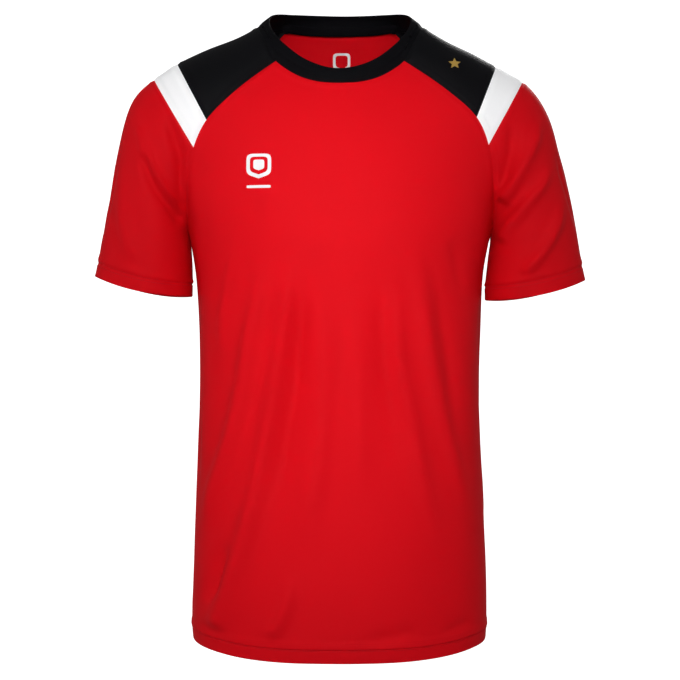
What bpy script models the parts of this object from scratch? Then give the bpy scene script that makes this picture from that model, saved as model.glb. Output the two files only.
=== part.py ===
"""Football jersey: raglan short sleeves, crew neck, filled out and hollow as it is worn.

Metres, +Z up. The jersey faces -Y and the wearer's left is +X. The origin lies
between the two sides of the neck, at the height of the collar seam on the
shoulders. One smooth surface is laid out for the whole garment from the tables
below, then cut along its seams into the pieces a maker would sew together.
"""

import math
from typing import NamedTuple

import bmesh
import bpy
from mathutils import Vector

# ---------------------------------------------------------------- sizes (metres)
CLOTH = 0.0012  # single knit, with the air between its faces
HEM_CLOTH = 0.0022  # turned up once and stitched
COLLAR_CLOTH = 0.0022  # folded band
TAPE_CLOTH = 0.0010
SEAM_GAP = 0.0003
TAPE_HALF_WIDTH = 0.0050  # on each side of the collar seam
TAPE_CLEARANCE = 0.0004

FRONT_SPANS = 8  # quads across the front, and across the back
SLEEVE_SPANS = 6  # quads from the front raglan seam over the arm to the back one
SUBDIVISIONS = 1
FIT_ROUNDS = 6
TAPE_ROWS = 3  # points across the tape
SHARPEST_MITRE = 0.5  # least cosine at a corner between two seams
SHARP_ANGLE = math.radians(50)

# ---------------------------------------------------------------- body below the armpit


class Ring(NamedTuple):
    """One level round the body, from side seam to side seam and back."""

    side_z: float
    front_z: float
    back_z: float
    half_width: float
    front_y: float
    back_y: float


RINGS = (
    # side_z  front_z  back_z  half_width front_y  back_y
    Ring(-0.7155, -0.7300, -0.7310, 0.1704, -0.1175, 0.1115),  # hem edge
    Ring(-0.7010, -0.7155, -0.7165, 0.1716, -0.1185, 0.1125),  # hem stitching
    Ring(-0.6450, -0.6520, -0.6530, 0.1707, -0.1185, 0.1120),
    Ring(-0.5700, -0.5740, -0.5750, 0.1678, -0.1175, 0.1090),
    Ring(-0.4850, -0.4860, -0.4870, 0.1650, -0.1160, 0.1050),
    Ring(-0.4000, -0.4000, -0.4000, 0.1635, -0.1175, 0.1050),  # waist
    Ring(-0.3300, -0.3280, -0.3280, 0.1650, -0.1210, 0.1095),
    Ring(-0.2860, -0.2860, -0.2860, 0.1686, -0.1230, 0.1135),
)

# ---------------------------------------------------------------- raglan seams and sleeve


class Row(NamedTuple):
    """One line over the shoulder, from the front raglan seam to the back one."""

    front_x: float
    front_y: float
    front_z: float
    top_x: float
    top_y: float
    top_z: float
    back_x: float
    back_y: float
    back_z: float
    front_depth: float
    back_depth: float


SHOULDER_ROWS = (
    # front seam                  top of shoulder            back seam                  depths
    Row(0.0734, -0.0520, -0.0500, 0.0970, 0.0080, -0.0030, 0.0600, 0.0580, 0.0035, 0.052, 0.058),
    Row(0.1070, -0.0660, -0.0750, 0.1260, 0.0070, -0.0200, 0.0880, 0.0690, -0.0245, 0.066, 0.069),
    Row(0.1299, -0.0730, -0.0945, 0.1570, 0.0060, -0.0335, 0.1120, 0.0760, -0.0560, 0.073, 0.076),
    Row(0.1535, -0.0750, -0.1188, 0.1865, 0.0050, -0.0485, 0.1340, 0.0780, -0.0900, 0.075, 0.078),
    Row(0.1679, -0.0710, -0.1497, 0.2156, 0.0040, -0.0667, 0.1510, 0.0750, -0.1250, 0.072, 0.076),
    Row(0.1739, -0.0620, -0.1771, 0.2360, 0.0030, -0.0880, 0.1630, 0.0660, -0.1600, 0.069, 0.072),
    Row(0.1767, -0.0480, -0.2034, 0.2485, 0.0020, -0.1150, 0.1710, 0.0510, -0.1940, 0.0665, 0.068),
    Row(0.1773, -0.0270, -0.2296, 0.2560, 0.0010, -0.1450, 0.1755, 0.0290, -0.2240, 0.064, 0.065),
    Row(0.1760, 0.0000, -0.2480, 0.2630, 0.0000, -0.1780, 0.1760, 0.0000, -0.2480, 0.062, 0.062),
)
YOKE_END_ROW = 3  # the yoke is sewn to the stripe here
STRIPE_END_ROW = 4  # the stripe is sewn to the sleeve here
ARMPIT_ROW = 8


class Cuff(NamedTuple):
    """One ring of the sleeve below the armpit."""

    under_x: float
    under_z: float
    top_x: float
    top_z: float
    depth: float
    droop: float  # how far its front and back hang below its two sides
    lean_x: float  # both underarms lie this much towards the wearer's left
    lean_z: float  # the left sleeve is this much higher, and the right one lower


CUFF_RINGS = (
    # under_x under_z  top_x   top_z   depth   droop   lean_x  lean_z
    Cuff(0.1740, -0.2680, 0.2700, -0.2110, 0.0610, 0.0000, 0.0000, 0.0000),
    Cuff(0.1722, -0.2880, 0.2775, -0.2480, 0.0590, 0.0025, -0.0006, -0.0008),
    Cuff(0.1712, -0.3060, 0.2832, -0.2810, 0.0575, 0.0060, -0.0014, -0.0018),  # hem stitching
    Cuff(0.1712, -0.3205, 0.2866, -0.2968, 0.0565, 0.0070, -0.0014, -0.0022),  # hem edge
)


class Lean(NamedTuple):
    """How the wearer's right shoulder sits higher and further out than the left, row by row."""

    seam_x: float
    seam_z: float
    top_x: float
    top_z: float


LEANS = (
    # seam_x  seam_z   top_x    top_z
    Lean(0.0000, 0.0000, 0.0000, 0.0000),
    Lean(0.0005, 0.0006, -0.0010, -0.0006),
    Lean(0.0012, 0.0010, -0.0026, -0.0012),
    Lean(0.0018, 0.0015, -0.0042, -0.0016),
    Lean(0.0012, 0.0015, -0.0022, -0.0014),
    Lean(0.0004, 0.0008, -0.0030, -0.0016),
    Lean(0.0000, 0.0000, -0.0026, -0.0010),
    Lean(0.0000, 0.0000, -0.0020, -0.0005),
    Lean(0.0000, 0.0000, -0.0014, 0.0000),
)
BODY_LEAN = -0.0005

# ---------------------------------------------------------------- upper front and back


class Level(NamedTuple):
    """The middle of the front and of the back at one row of the raglan seams."""

    front_y: float
    front_z: float
    back_y: float
    back_z: float
    roundness: float  # 0 is a shallow bow between the seams, 1 is a full oval


LEVELS = (
    # front_y front_z  back_y  back_z  roundness
    Level(-0.0750, -0.0780, 0.0700, 0.0010, 0.00),  # neckline
    Level(-0.0850, -0.0960, 0.0790, -0.0250, 0.00),
    Level(-0.0930, -0.1130, 0.0880, -0.0500, 0.00),
    Level(-0.1000, -0.1330, 0.0960, -0.0780, 0.05),
    Level(-0.1070, -0.1550, 0.1030, -0.1080, 0.15),
    Level(-0.1130, -0.1780, 0.1090, -0.1400, 0.35),
    Level(-0.1180, -0.2030, 0.1130, -0.1750, 0.60),
    Level(-0.1210, -0.2270, 0.1150, -0.2120, 0.85),
    Level(-0.1230, -0.2520, 0.1150, -0.2500, 1.00),  # armpit
)
OVAL_POWER = 2.4  # 2 is an ellipse, more is squarer
DIP_POWER = 2.5  # how flat a panel's upper edge is across its middle
HEM_RISE_POWER = 2.5  # how late the hem climbs towards the side seams

# ---------------------------------------------------------------- collar
COLLAR_TOP_HALF_WIDTH = 0.0840
COLLAR_TOP_MIDDLE_Y = -0.0030
COLLAR_TOP_HALF_DEPTH = 0.0670
COLLAR_TOP_BACK_Z = 0.0180
COLLAR_TOP_DROP = 0.0792  # from the back of the neck to the front
COLLAR_TOP_POWER = 2.5
COLLAR_BOW = 0.0010  # the band stands this much proud of flat, half-way up

# ---------------------------------------------------------------- largest folds


class Fold(NamedTuple):
    """A soft trough (depth above 0) or ridge (below 0), seen square on from the front or back."""

    from_x: float
    from_z: float
    to_x: float
    to_z: float
    half_width: float
    depth: float
    side: int  # -1 is the front half of the garment, 1 the back half


FOLD_FULL_SHARE = 0.6  # the part of a fold's length at its full depth
FOLD_TAPER_SHARE = 0.3  # how fast it dies out past that

FOLDS = (
    # from_x from_z   to_x    to_z   half_width depth side
    Fold(-0.128, -0.460, -0.158, -0.545, 0.020, 0.0045, -1),
    Fold(-0.126, -0.600, -0.150, -0.660, 0.020, 0.0035, -1),
    Fold(-0.100, -0.590, -0.122, -0.670, 0.022, -0.0030, -1),
    Fold(0.112, -0.425, 0.142, -0.540, 0.022, 0.0040, -1),
    Fold(0.092, -0.420, 0.128, -0.550, 0.022, -0.0035, -1),
    Fold(-0.206, -0.170, -0.184, -0.262, 0.016, 0.0035, -1),
    Fold(0.226, -0.205, 0.186, -0.270, 0.016, 0.0035, -1),
    Fold(0.246, -0.225, 0.212, -0.285, 0.016, -0.0030, -1),
    Fold(-0.070, -0.380, 0.060, -0.420, 0.030, 0.0045, 1),
    Fold(0.075, -0.500, 0.140, -0.590, 0.024, 0.0040, 1),
    Fold(-0.080, -0.540, -0.145, -0.640, 0.024, 0.0040, 1),
    Fold(0.205, -0.185, 0.185, -0.262, 0.016, 0.0030, 1),
    Fold(-0.205, -0.185, -0.185, -0.262, 0.016, 0.0030, 1),
)


# ---------------------------------------------------------------- finishes


class Finish(NamedTuple):
    """A cloth's colour (linear), roughness and metallic value."""

    red: float
    green: float
    blue: float
    roughness: float
    metallic: float = 0.0


RED_KNIT = Finish(0.640, 0.006, 0.016, 0.72)
BLACK_KNIT = Finish(0.010, 0.010, 0.012, 0.74)
WHITE_KNIT = Finish(0.880, 0.880, 0.900, 0.70)
BLACK_RIB = Finish(0.009, 0.009, 0.010, 0.80)
BLACK_TAPE = Finish(0.012, 0.012, 0.013, 0.76)

PIECES = {
    "front": RED_KNIT,
    "back": RED_KNIT,
    "yoke_left": BLACK_KNIT,
    "yoke_right": BLACK_KNIT,
    "stripe_left": WHITE_KNIT,
    "stripe_right": WHITE_KNIT,
    "sleeve_left": RED_KNIT,
    "sleeve_right": RED_KNIT,
    "collar": BLACK_RIB,
}
PANEL_NAMES = tuple(PIECES)


# ---------------------------------------------------------------- lines of the garment
def signed_power(value, power):
    return math.copysign(abs(value) ** power, value)


def across(position, roundness):
    """Sideways and forward shares at a position from -1 (one seam) to 1 (the other)."""
    angle = position * math.pi / 2
    oval_side = signed_power(math.sin(angle), 2 / OVAL_POWER)
    oval_out = abs(math.cos(angle)) ** (2 / OVAL_POWER)
    side = roundness * oval_side + (1 - roundness) * position
    out = roundness * oval_out + (1 - roundness) * (1 - position * position)
    return side, out


def ring_point(ring, column):
    """A point of a body ring. Columns run across the front, then across the back."""
    if column <= FRONT_SPANS:
        position = 2 * column / FRONT_SPANS - 1
        middle_y, middle_z = ring.front_y, ring.front_z
    else:
        position = 1 - 2 * (column - FRONT_SPANS) / FRONT_SPANS
        middle_y, middle_z = ring.back_y, ring.back_z
    side, out = across(position, 1.0)
    climb = abs(math.sin(position * math.pi / 2)) ** HEM_RISE_POWER
    z = middle_z + (ring.side_z - middle_z) * climb
    return Vector((BODY_LEAN + ring.half_width * side, middle_y * out, z))


def seam_point(index, towards_back, sign):
    """A point of a raglan seam, on the wearer's left where sign is 1."""
    row, lean = SHOULDER_ROWS[index], LEANS[index]
    if towards_back:
        return Vector((sign * row.back_x, row.back_y, row.back_z))
    return Vector((sign * row.front_x + lean.seam_x, row.front_y, row.front_z + sign * lean.seam_z))


def top_point(index, sign):
    """A point of the line along the top of the shoulder and down the outside of the arm."""
    row, lean = SHOULDER_ROWS[index], LEANS[index]
    return Vector((sign * row.top_x + lean.top_x, row.top_y, row.top_z + sign * lean.top_z))


def panel_point(index, towards_back, position):
    """A point of the upper front or back, at one row of its seams."""
    level = LEVELS[index]
    seam = seam_point(index, towards_back, 1 if position >= 0 else -1)
    middle_y = level.back_y if towards_back else level.front_y
    middle_z = level.back_z if towards_back else level.front_z
    side, out = across(position, level.roundness)
    y = seam.y + (middle_y - seam.y) * out
    z = seam.z + (middle_z - seam.z) * (1 - abs(position) ** DIP_POWER)
    return Vector((abs(seam.x) * side, y, z))


def arm_point(seam, top, depth, share, facing):
    """A point on the arc from a seam (share 0) to the top line (share 1), facing -1 to the front."""
    start = math.asin(min(1.0, abs(seam.y) / depth))
    angle = start + (math.pi - start) * share
    travelled = (math.cos(start) - math.cos(angle)) / (1 + math.cos(start))
    y = facing * depth * math.sin(angle) + top.y * travelled
    return Vector((seam.x + (top.x - seam.x) * travelled, y, seam.z + (top.z - seam.z) * travelled))


def shoulder_point(index, column, sign):
    """A point of the sleeve grid above the armpit."""
    row = SHOULDER_ROWS[index]
    half = SLEEVE_SPANS // 2
    top = top_point(index, sign)
    if column <= half:
        return arm_point(seam_point(index, False, sign), top, row.front_depth, column / half, -1)
    share = (SLEEVE_SPANS - column) / half
    return arm_point(seam_point(index, True, sign), top, row.back_depth, share, 1)


def cuff_point(ring, column, sign):
    """A point of a sleeve ring below the armpit. Column 0 is the underarm seam."""
    angle = 2 * math.pi * column / SLEEVE_SPANS
    share = (1 - math.cos(angle)) / 2
    x = sign * (ring.under_x + (ring.top_x - ring.under_x) * share) + ring.lean_x * (1 - share)
    z = ring.under_z + (ring.top_z - ring.under_z) * share + sign * ring.lean_z
    droop = ring.droop * math.sin(angle) ** 2
    return Vector((x, -ring.depth * math.sin(angle), z - droop))


def collar_top_point(seam):
    """The point of the collar's upper edge above a point of its seam."""
    turn = math.atan2(seam.x / COLLAR_TOP_HALF_WIDTH, (COLLAR_TOP_MIDDLE_Y - seam.y) / COLLAR_TOP_HALF_DEPTH)
    forward = (1 + math.cos(turn)) / 2
    return Vector(
        (
            COLLAR_TOP_HALF_WIDTH * math.sin(turn),
            COLLAR_TOP_MIDDLE_Y - COLLAR_TOP_HALF_DEPTH * math.cos(turn),
            COLLAR_TOP_BACK_Z - COLLAR_TOP_DROP * forward**COLLAR_TOP_POWER,
        )
    )


# ---------------------------------------------------------------- the whole garment's cage
class Cage:
    """The coarse surface of the whole garment: shared points, and quads that name their panel."""

    def __init__(self):
        self.points = []
        self.index = {}
        self.faces = []
        self.panels = []
        self.hem_points = set()

    def point(self, key, place):
        if key not in self.index:
            self.index[key] = len(self.points)
            self.points.append(place)
        return self.index[key]

    def quad(self, corners, panel, flip=False):
        self.faces.append(tuple(reversed(corners)) if flip else tuple(corners))
        self.panels.append(PANEL_NAMES.index(panel))

    def body_vertex(self, ring, column):
        column %= 2 * FRONT_SPANS
        if ring == len(RINGS):
            return self.armpit_vertex(column)
        return self.point(("body", ring, column), ring_point(RINGS[ring], column))

    def armpit_vertex(self, column):
        towards_back = column > FRONT_SPANS
        if towards_back:
            column = 2 * FRONT_SPANS - column
        return self.panel_vertex(ARMPIT_ROW, towards_back, column)

    def seam_vertex(self, row, towards_back, sign):
        if row == ARMPIT_ROW:
            towards_back = False
        place = seam_point(row, towards_back, sign)
        return self.point(("seam", row, towards_back, sign), place)

    def panel_vertex(self, row, towards_back, column):
        """Columns run from the wearer's right (-X) to the left, on the front and on the back."""
        if column in (0, FRONT_SPANS):
            return self.seam_vertex(row, towards_back, 1 if column else -1)
        position = 2 * column / FRONT_SPANS - 1
        return self.point(("panel", row, towards_back, column), panel_point(row, towards_back, position))

    def sleeve_vertex(self, row, column, sign):
        if row <= ARMPIT_ROW:
            if column in (0, SLEEVE_SPANS):
                return self.seam_vertex(row, column > 0, sign)
            return self.point(("sleeve", row, column, sign), shoulder_point(row, column, sign))
        column %= SLEEVE_SPANS
        ring = CUFF_RINGS[row - ARMPIT_ROW - 1]
        return self.point(("sleeve", row, column, sign), cuff_point(ring, column, sign))

    def add_body(self):
        for ring in range(len(RINGS)):
            for column in range(2 * FRONT_SPANS):
                corners = (
                    self.body_vertex(ring, column),
                    self.body_vertex(ring, column + 1),
                    self.body_vertex(ring + 1, column + 1),
                    self.body_vertex(ring + 1, column),
                )
                self.quad(corners, "front" if column < FRONT_SPANS else "back")
                if ring == 0:
                    self.hem_points.update(corners)

    def add_upper_panel(self, towards_back):
        for row in range(ARMPIT_ROW):
            for column in range(FRONT_SPANS):
                corners = (
                    self.panel_vertex(row + 1, towards_back, column),
                    self.panel_vertex(row + 1, towards_back, column + 1),
                    self.panel_vertex(row, towards_back, column + 1),
                    self.panel_vertex(row, towards_back, column),
                )
                self.quad(corners, "back" if towards_back else "front", flip=towards_back)

    def add_sleeve(self, sign):
        side = "left" if sign > 0 else "right"
        last = ARMPIT_ROW + len(CUFF_RINGS)
        for row in range(last):
            kind = "yoke" if row < YOKE_END_ROW else "stripe" if row < STRIPE_END_ROW else "sleeve"
            for column in range(SLEEVE_SPANS):
                corners = (
                    self.sleeve_vertex(row, column, sign),
                    self.sleeve_vertex(row + 1, column, sign),
                    self.sleeve_vertex(row + 1, column + 1, sign),
                    self.sleeve_vertex(row, column + 1, sign),
                )
                self.quad(corners, f"{kind}_{side}", flip=sign < 0)
                if row == last - 1:
                    self.hem_points.update(corners)

    def neckline(self):
        """The loop of vertices along the collar's seam, counter-clockwise from above."""
        loop = [self.panel_vertex(0, False, column) for column in range(FRONT_SPANS)]
        loop += [self.sleeve_vertex(0, column, 1) for column in range(SLEEVE_SPANS)]
        loop += [self.panel_vertex(0, True, column) for column in range(FRONT_SPANS, 0, -1)]
        loop += [self.sleeve_vertex(0, column, -1) for column in range(SLEEVE_SPANS, 0, -1)]
        return loop

    def add_collar(self):
        seam = self.neckline()
        middle, top = [], []
        for number, vertex in enumerate(seam):
            low = self.points[vertex]
            high = collar_top_point(low)
            outward = Vector((low.x, low.y, 0)).normalized()
            middle.append(self.point(("collar", 1, number), (low + high) / 2 + outward * COLLAR_BOW))
            top.append(self.point(("collar", 2, number), high))
        for lower, upper in ((seam, middle), (middle, top)):
            for number in range(len(seam)):
                following = (number + 1) % len(seam)
                corners = (lower[number], lower[following], upper[following], upper[number])
                self.quad(corners, "collar")


def build_cage():
    cage = Cage()
    cage.add_body()
    cage.add_upper_panel(towards_back=False)
    cage.add_upper_panel(towards_back=True)
    cage.add_sleeve(1)
    cage.add_sleeve(-1)
    cage.add_collar()
    return cage


# ---------------------------------------------------------------- smooth surface through the cage's points
def cage_object(cage, collection):
    """The cage with its Subdivision Surface, kept as a guide."""
    mesh = bpy.data.meshes.new("garment_cage")
    mesh.from_pydata(cage.points, [], cage.faces)
    mesh.polygons.foreach_set("material_index", cage.panels)
    hem = mesh.attributes.new("hem", "FLOAT", "POINT")
    hem.data.foreach_set("value", [float(number in cage.hem_points) for number in range(len(cage.points))])
    for name in PANEL_NAMES:
        mesh.materials.append(knit_material(f"{name}_guide", PIECES[name]))
    guide = bpy.data.objects.new("garment_cage", mesh)
    guide.display_type = "WIRE"
    guide.hide_render = True
    collection.objects.link(guide)
    smooth = guide.modifiers.new("smooth", "SUBSURF")
    smooth.levels = SUBDIVISIONS
    smooth.render_levels = SUBDIVISIONS
    return guide


def smoothed_mesh(guide):
    bpy.context.view_layer.update()
    graph = bpy.context.evaluated_depsgraph_get()
    return bpy.data.meshes.new_from_object(guide.evaluated_get(graph), depsgraph=graph)


def fit_through_points(guide, targets):
    """Moves the cage until its smooth surface passes through the tables' own points."""
    for _ in range(FIT_ROUNDS):
        reached = smoothed_mesh(guide)
        for vertex, target in zip(guide.data.vertices, targets):
            vertex.co += target - reached.vertices[vertex.index].co
        bpy.data.meshes.remove(reached)


def fold_shift(place):
    """How far the cloth sinks at a place, from all the folds on its side."""
    shift = 0.0
    for fold in FOLDS:
        if place.y * fold.side <= 0:
            continue
        start = Vector((fold.from_x, fold.from_z))
        run = Vector((fold.to_x, fold.to_z)) - start
        away = Vector((place.x, place.z)) - start
        share = away.dot(run) / run.length_squared
        beside = abs(away.x * run.y - away.y * run.x) / run.length
        past_end = max(0.0, abs(share - 0.5) - FOLD_FULL_SHARE / 2)
        taper = math.exp(-((past_end / FOLD_TAPER_SHARE) ** 2))
        shift += fold.depth * taper * math.exp(-((beside / fold.half_width) ** 2))
    return shift


class Surface:
    """The garment's smooth outer surface: its points, outward normals, quads and wall thickness."""

    def __init__(self, guide):
        mesh = smoothed_mesh(guide)
        for vertex, normal in zip(mesh.vertices, [vertex.normal.copy() for vertex in mesh.vertices]):
            vertex.co -= normal * fold_shift(vertex.co)
        self.points = [vertex.co.copy() for vertex in mesh.vertices]
        self.normals = [vertex.normal.copy() for vertex in mesh.vertices]
        self.hem = [value.value for value in mesh.attributes["hem"].data]
        self.faces = {name: [] for name in PANEL_NAMES}
        for face in mesh.polygons:
            self.faces[PANEL_NAMES[face.material_index]].append(tuple(face.vertices))
        bpy.data.meshes.remove(mesh)

    def wall(self, name, corner):
        if name == "collar":
            return COLLAR_CLOTH
        return CLOTH + (HEM_CLOTH - CLOTH) * self.hem[corner]

    def shared_outline(self, name):
        """The directed edges along which this panel is sewn to others."""
        own = panel_edges(self.faces[name])
        other = set()
        for panel, faces in self.faces.items():
            if panel != name:
                other.update(panel_edges(faces))
        return {edge: face for edge, face in own.items() if (edge[1], edge[0]) in other}

    def seam_moves(self, name):
        """For each point along a seam, the move into the panel that opens half the seam's gap."""
        inwards = {}
        for (first, second), face in self.shared_outline(name).items():
            along = (self.points[second] - self.points[first]).normalized()
            centre = sum((self.points[corner] for corner in face), Vector()) / len(face)
            inward = centre - self.points[first]
            inward = (inward - along * inward.dot(along)).normalized()
            inwards.setdefault(first, []).append(inward)
            inwards.setdefault(second, []).append(inward)
        moves = {}
        for corner, directions in inwards.items():
            middle = sum(directions, Vector()).normalized()
            lean = max(SHARPEST_MITRE, middle.dot(directions[0]))
            moves[corner] = middle * (SEAM_GAP / 2 / lean)
        return moves


def panel_edges(faces):
    """Each directed edge of some quads, with the quad that it belongs to."""
    return {edge: face for face in faces for edge in zip(face, face[1:] + face[:1])}


# ---------------------------------------------------------------- solids
def wall_object(name, outer, inner, faces, finish, collection):
    """A closed wall: its outer face, extruded to its inner one."""
    build = bmesh.new()
    number = build.verts.layers.int.new("number")
    vertices = {}
    for corner, place in outer.items():
        vertices[corner] = build.verts.new(place)
        vertices[corner][number] = corner
    for face in faces:
        build.faces.new([vertices[corner] for corner in face])
    lifted = bmesh.ops.extrude_face_region(build, geom=list(build.faces), use_keep_orig=True)
    for item in lifted["geom"]:
        if isinstance(item, bmesh.types.BMVert):
            item.co = inner[item[number]]
    bmesh.ops.recalc_face_normals(build, faces=list(build.faces))
    mesh = bpy.data.meshes.new(name)
    build.to_mesh(mesh)
    build.free()
    mesh.materials.append(knit_material(name, finish))
    mesh.shade_smooth()
    mesh.set_sharp_from_angle(angle=SHARP_ANGLE)
    part = bpy.data.objects.new(name, mesh)
    collection.objects.link(part)
    return part


def build_panel(name, surface, collection):
    faces = surface.faces[name]
    moves = surface.seam_moves(name)
    outer, inner = {}, {}
    for corner in sorted({corner for face in faces for corner in face}):
        place = surface.points[corner] + moves.get(corner, Vector())
        outer[corner] = place
        inner[corner] = place - surface.normals[corner] * surface.wall(name, corner)
    return wall_object(name, outer, inner, faces, PIECES[name], collection)


def build_neck_tape(surface, collection):
    """A strip over the inside of the collar's seam, from one back raglan seam to the other."""
    sewn = panel_edges(surface.faces["back"])
    seam = {edge for edge in panel_edges(surface.faces["collar"]) if (edge[1], edge[0]) in sewn}
    line = sorted({corner for edge in seam for corner in edge}, key=lambda corner: surface.points[corner].x)
    outer, inner = {}, {}
    for place, corner in enumerate(line):
        before = surface.points[line[max(place - 1, 0)]]
        after = surface.points[line[min(place + 1, len(line) - 1)]]
        normal = surface.normals[corner]
        up = (before - after).normalized().cross(normal).normalized()
        for row in range(TAPE_ROWS):
            rise = TAPE_HALF_WIDTH * (2 * row / (TAPE_ROWS - 1) - 1)
            middle = surface.points[corner] + up * rise
            number = place * TAPE_ROWS + row
            outer[number] = middle - normal * (COLLAR_CLOTH + TAPE_CLEARANCE)
            inner[number] = outer[number] - normal * TAPE_CLOTH
    faces = []
    for place in range(len(line) - 1):
        for row in range(TAPE_ROWS - 1):
            low = place * TAPE_ROWS + row
            faces.append((low, low + 1, low + TAPE_ROWS + 1, low + TAPE_ROWS))
    return wall_object("neck_tape", outer, inner, faces, BLACK_TAPE, collection)


def knit_material(name, finish):
    material = bpy.data.materials.new(name)
    material.use_nodes = True
    shader = material.node_tree.nodes["Principled BSDF"]
    shader.inputs["Base Color"].default_value = (finish.red, finish.green, finish.blue, 1.0)
    shader.inputs["Roughness"].default_value = finish.roughness
    shader.inputs["Metallic"].default_value = finish.metallic
    return material


def new_collection(name, parent):
    collection = bpy.data.collections.new(name)
    parent.children.link(collection)
    return collection


def main():
    for leftover in list(bpy.data.objects):
        bpy.data.objects.remove(leftover, do_unlink=True)
    scene = bpy.context.scene
    jersey = new_collection("football_jersey", scene.collection)
    guides = new_collection("guides", scene.collection)
    cage = build_cage()
    guide = cage_object(cage, guides)
    fit_through_points(guide, cage.points)
    surface = Surface(guide)
    for name in PANEL_NAMES:
        build_panel(name, surface, jersey)
    build_neck_tape(surface, jersey)


main()
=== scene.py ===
"""The finished football jersey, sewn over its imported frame, in a plain white studio.

Metres, +Z up. The jersey faces -Y and the wearer's left is +X. The garment's own
measurements are laid out below as a coarse cage. The cage is smoothed into one fine
surface, creased, and then cut along its seams into the pieces of cloth, each a thin
wall with a turned edge. Tape, stitches and prints are laid on that surface.
"""

import logging
import math
from dataclasses import dataclass, field
from enum import Enum
from typing import NamedTuple

import bpy
import numpy as np
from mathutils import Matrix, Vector
from mathutils.bvhtree import BVHTree
from mathutils.kdtree import KDTree

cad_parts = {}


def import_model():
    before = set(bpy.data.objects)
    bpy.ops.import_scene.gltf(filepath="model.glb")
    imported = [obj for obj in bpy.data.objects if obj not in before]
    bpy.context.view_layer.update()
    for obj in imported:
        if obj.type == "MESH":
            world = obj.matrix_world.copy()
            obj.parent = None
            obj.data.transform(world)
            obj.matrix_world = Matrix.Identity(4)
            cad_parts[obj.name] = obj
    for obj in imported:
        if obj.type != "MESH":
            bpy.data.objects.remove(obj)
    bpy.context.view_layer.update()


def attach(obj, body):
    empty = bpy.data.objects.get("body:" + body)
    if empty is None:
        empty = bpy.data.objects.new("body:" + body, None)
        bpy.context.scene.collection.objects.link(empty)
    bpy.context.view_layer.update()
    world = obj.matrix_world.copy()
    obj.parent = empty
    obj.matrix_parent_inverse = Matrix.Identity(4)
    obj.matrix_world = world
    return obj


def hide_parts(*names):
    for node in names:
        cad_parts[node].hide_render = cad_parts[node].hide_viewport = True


LOG = logging.getLogger("jersey")
BODY = "root"
MM = 0.001

# ---------------------------------------------------------------- measurements (metres)


class Ring(NamedTuple):
    """One level round the body, from side seam to side seam and back."""

    side_z: float
    front_z: float
    back_z: float
    half_width: float
    front_y: float
    back_y: float


RINGS = (
    # side_z  front_z  back_z  half_width front_y  back_y
    Ring(-0.7155, -0.7300, -0.7310, 0.1704, -0.1175, 0.1115),  # hem edge
    Ring(-0.7010, -0.7155, -0.7165, 0.1716, -0.1185, 0.1125),  # hem stitching
    Ring(-0.6940, -0.7076, -0.7086, 0.1716, -0.1185, 0.1125),
    Ring(-0.6450, -0.6520, -0.6530, 0.1707, -0.1185, 0.1120),
    Ring(-0.5700, -0.5740, -0.5750, 0.1678, -0.1175, 0.1090),
    Ring(-0.4850, -0.4860, -0.4870, 0.1650, -0.1160, 0.1050),
    Ring(-0.4000, -0.4000, -0.4000, 0.1635, -0.1175, 0.1050),  # waist
    Ring(-0.3300, -0.3280, -0.3280, 0.1650, -0.1210, 0.1095),
    Ring(-0.2860, -0.2860, -0.2860, 0.1686, -0.1230, 0.1135),
)


class Row(NamedTuple):
    """One line over the shoulder, from the front raglan seam to the back one."""

    front_x: float
    front_y: float
    front_z: float
    top_x: float
    top_y: float
    top_z: float
    back_x: float
    back_y: float
    back_z: float
    front_depth: float
    back_depth: float


SHOULDER_ROWS = (
    # front seam                  top of shoulder            back seam                  depths
    Row(0.0734, -0.0520, -0.0500, 0.0970, 0.0080, -0.0030, 0.0600, 0.0580, 0.0035, 0.052, 0.058),
    Row(0.1070, -0.0660, -0.0750, 0.1260, 0.0070, -0.0200, 0.0880, 0.0690, -0.0245, 0.066, 0.069),
    Row(0.1299, -0.0730, -0.0945, 0.1570, 0.0060, -0.0335, 0.1120, 0.0760, -0.0560, 0.073, 0.076),
    Row(0.1535, -0.0750, -0.1188, 0.1865, 0.0050, -0.0485, 0.1340, 0.0780, -0.0900, 0.075, 0.078),
    Row(0.1679, -0.0710, -0.1497, 0.2156, 0.0040, -0.0667, 0.1510, 0.0750, -0.1250, 0.072, 0.076),
    Row(0.1739, -0.0620, -0.1771, 0.2360, 0.0030, -0.0880, 0.1630, 0.0660, -0.1600, 0.069, 0.072),
    Row(0.1767, -0.0480, -0.2034, 0.2485, 0.0020, -0.1150, 0.1710, 0.0510, -0.1940, 0.0665, 0.068),
    Row(0.1773, -0.0270, -0.2296, 0.2560, 0.0010, -0.1450, 0.1755, 0.0290, -0.2240, 0.064, 0.065),
    Row(0.1760, 0.0000, -0.2480, 0.2630, 0.0000, -0.1780, 0.1760, 0.0000, -0.2480, 0.062, 0.062),
)
YOKE_END_ROW = 3  # the yoke is sewn to the stripe here
STRIPE_END_ROW = 4  # the stripe is sewn to the sleeve here
ARMPIT_ROW = 8


class Cuff(NamedTuple):
    """One ring of the sleeve below the armpit."""

    under_x: float
    under_z: float
    top_x: float
    top_z: float
    depth: float
    droop: float  # how far its front and back hang below its two sides
    lean_x: float  # both underarms lie this much towards the wearer's left
    lean_z: float  # the left sleeve is this much higher, and the right one lower


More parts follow.
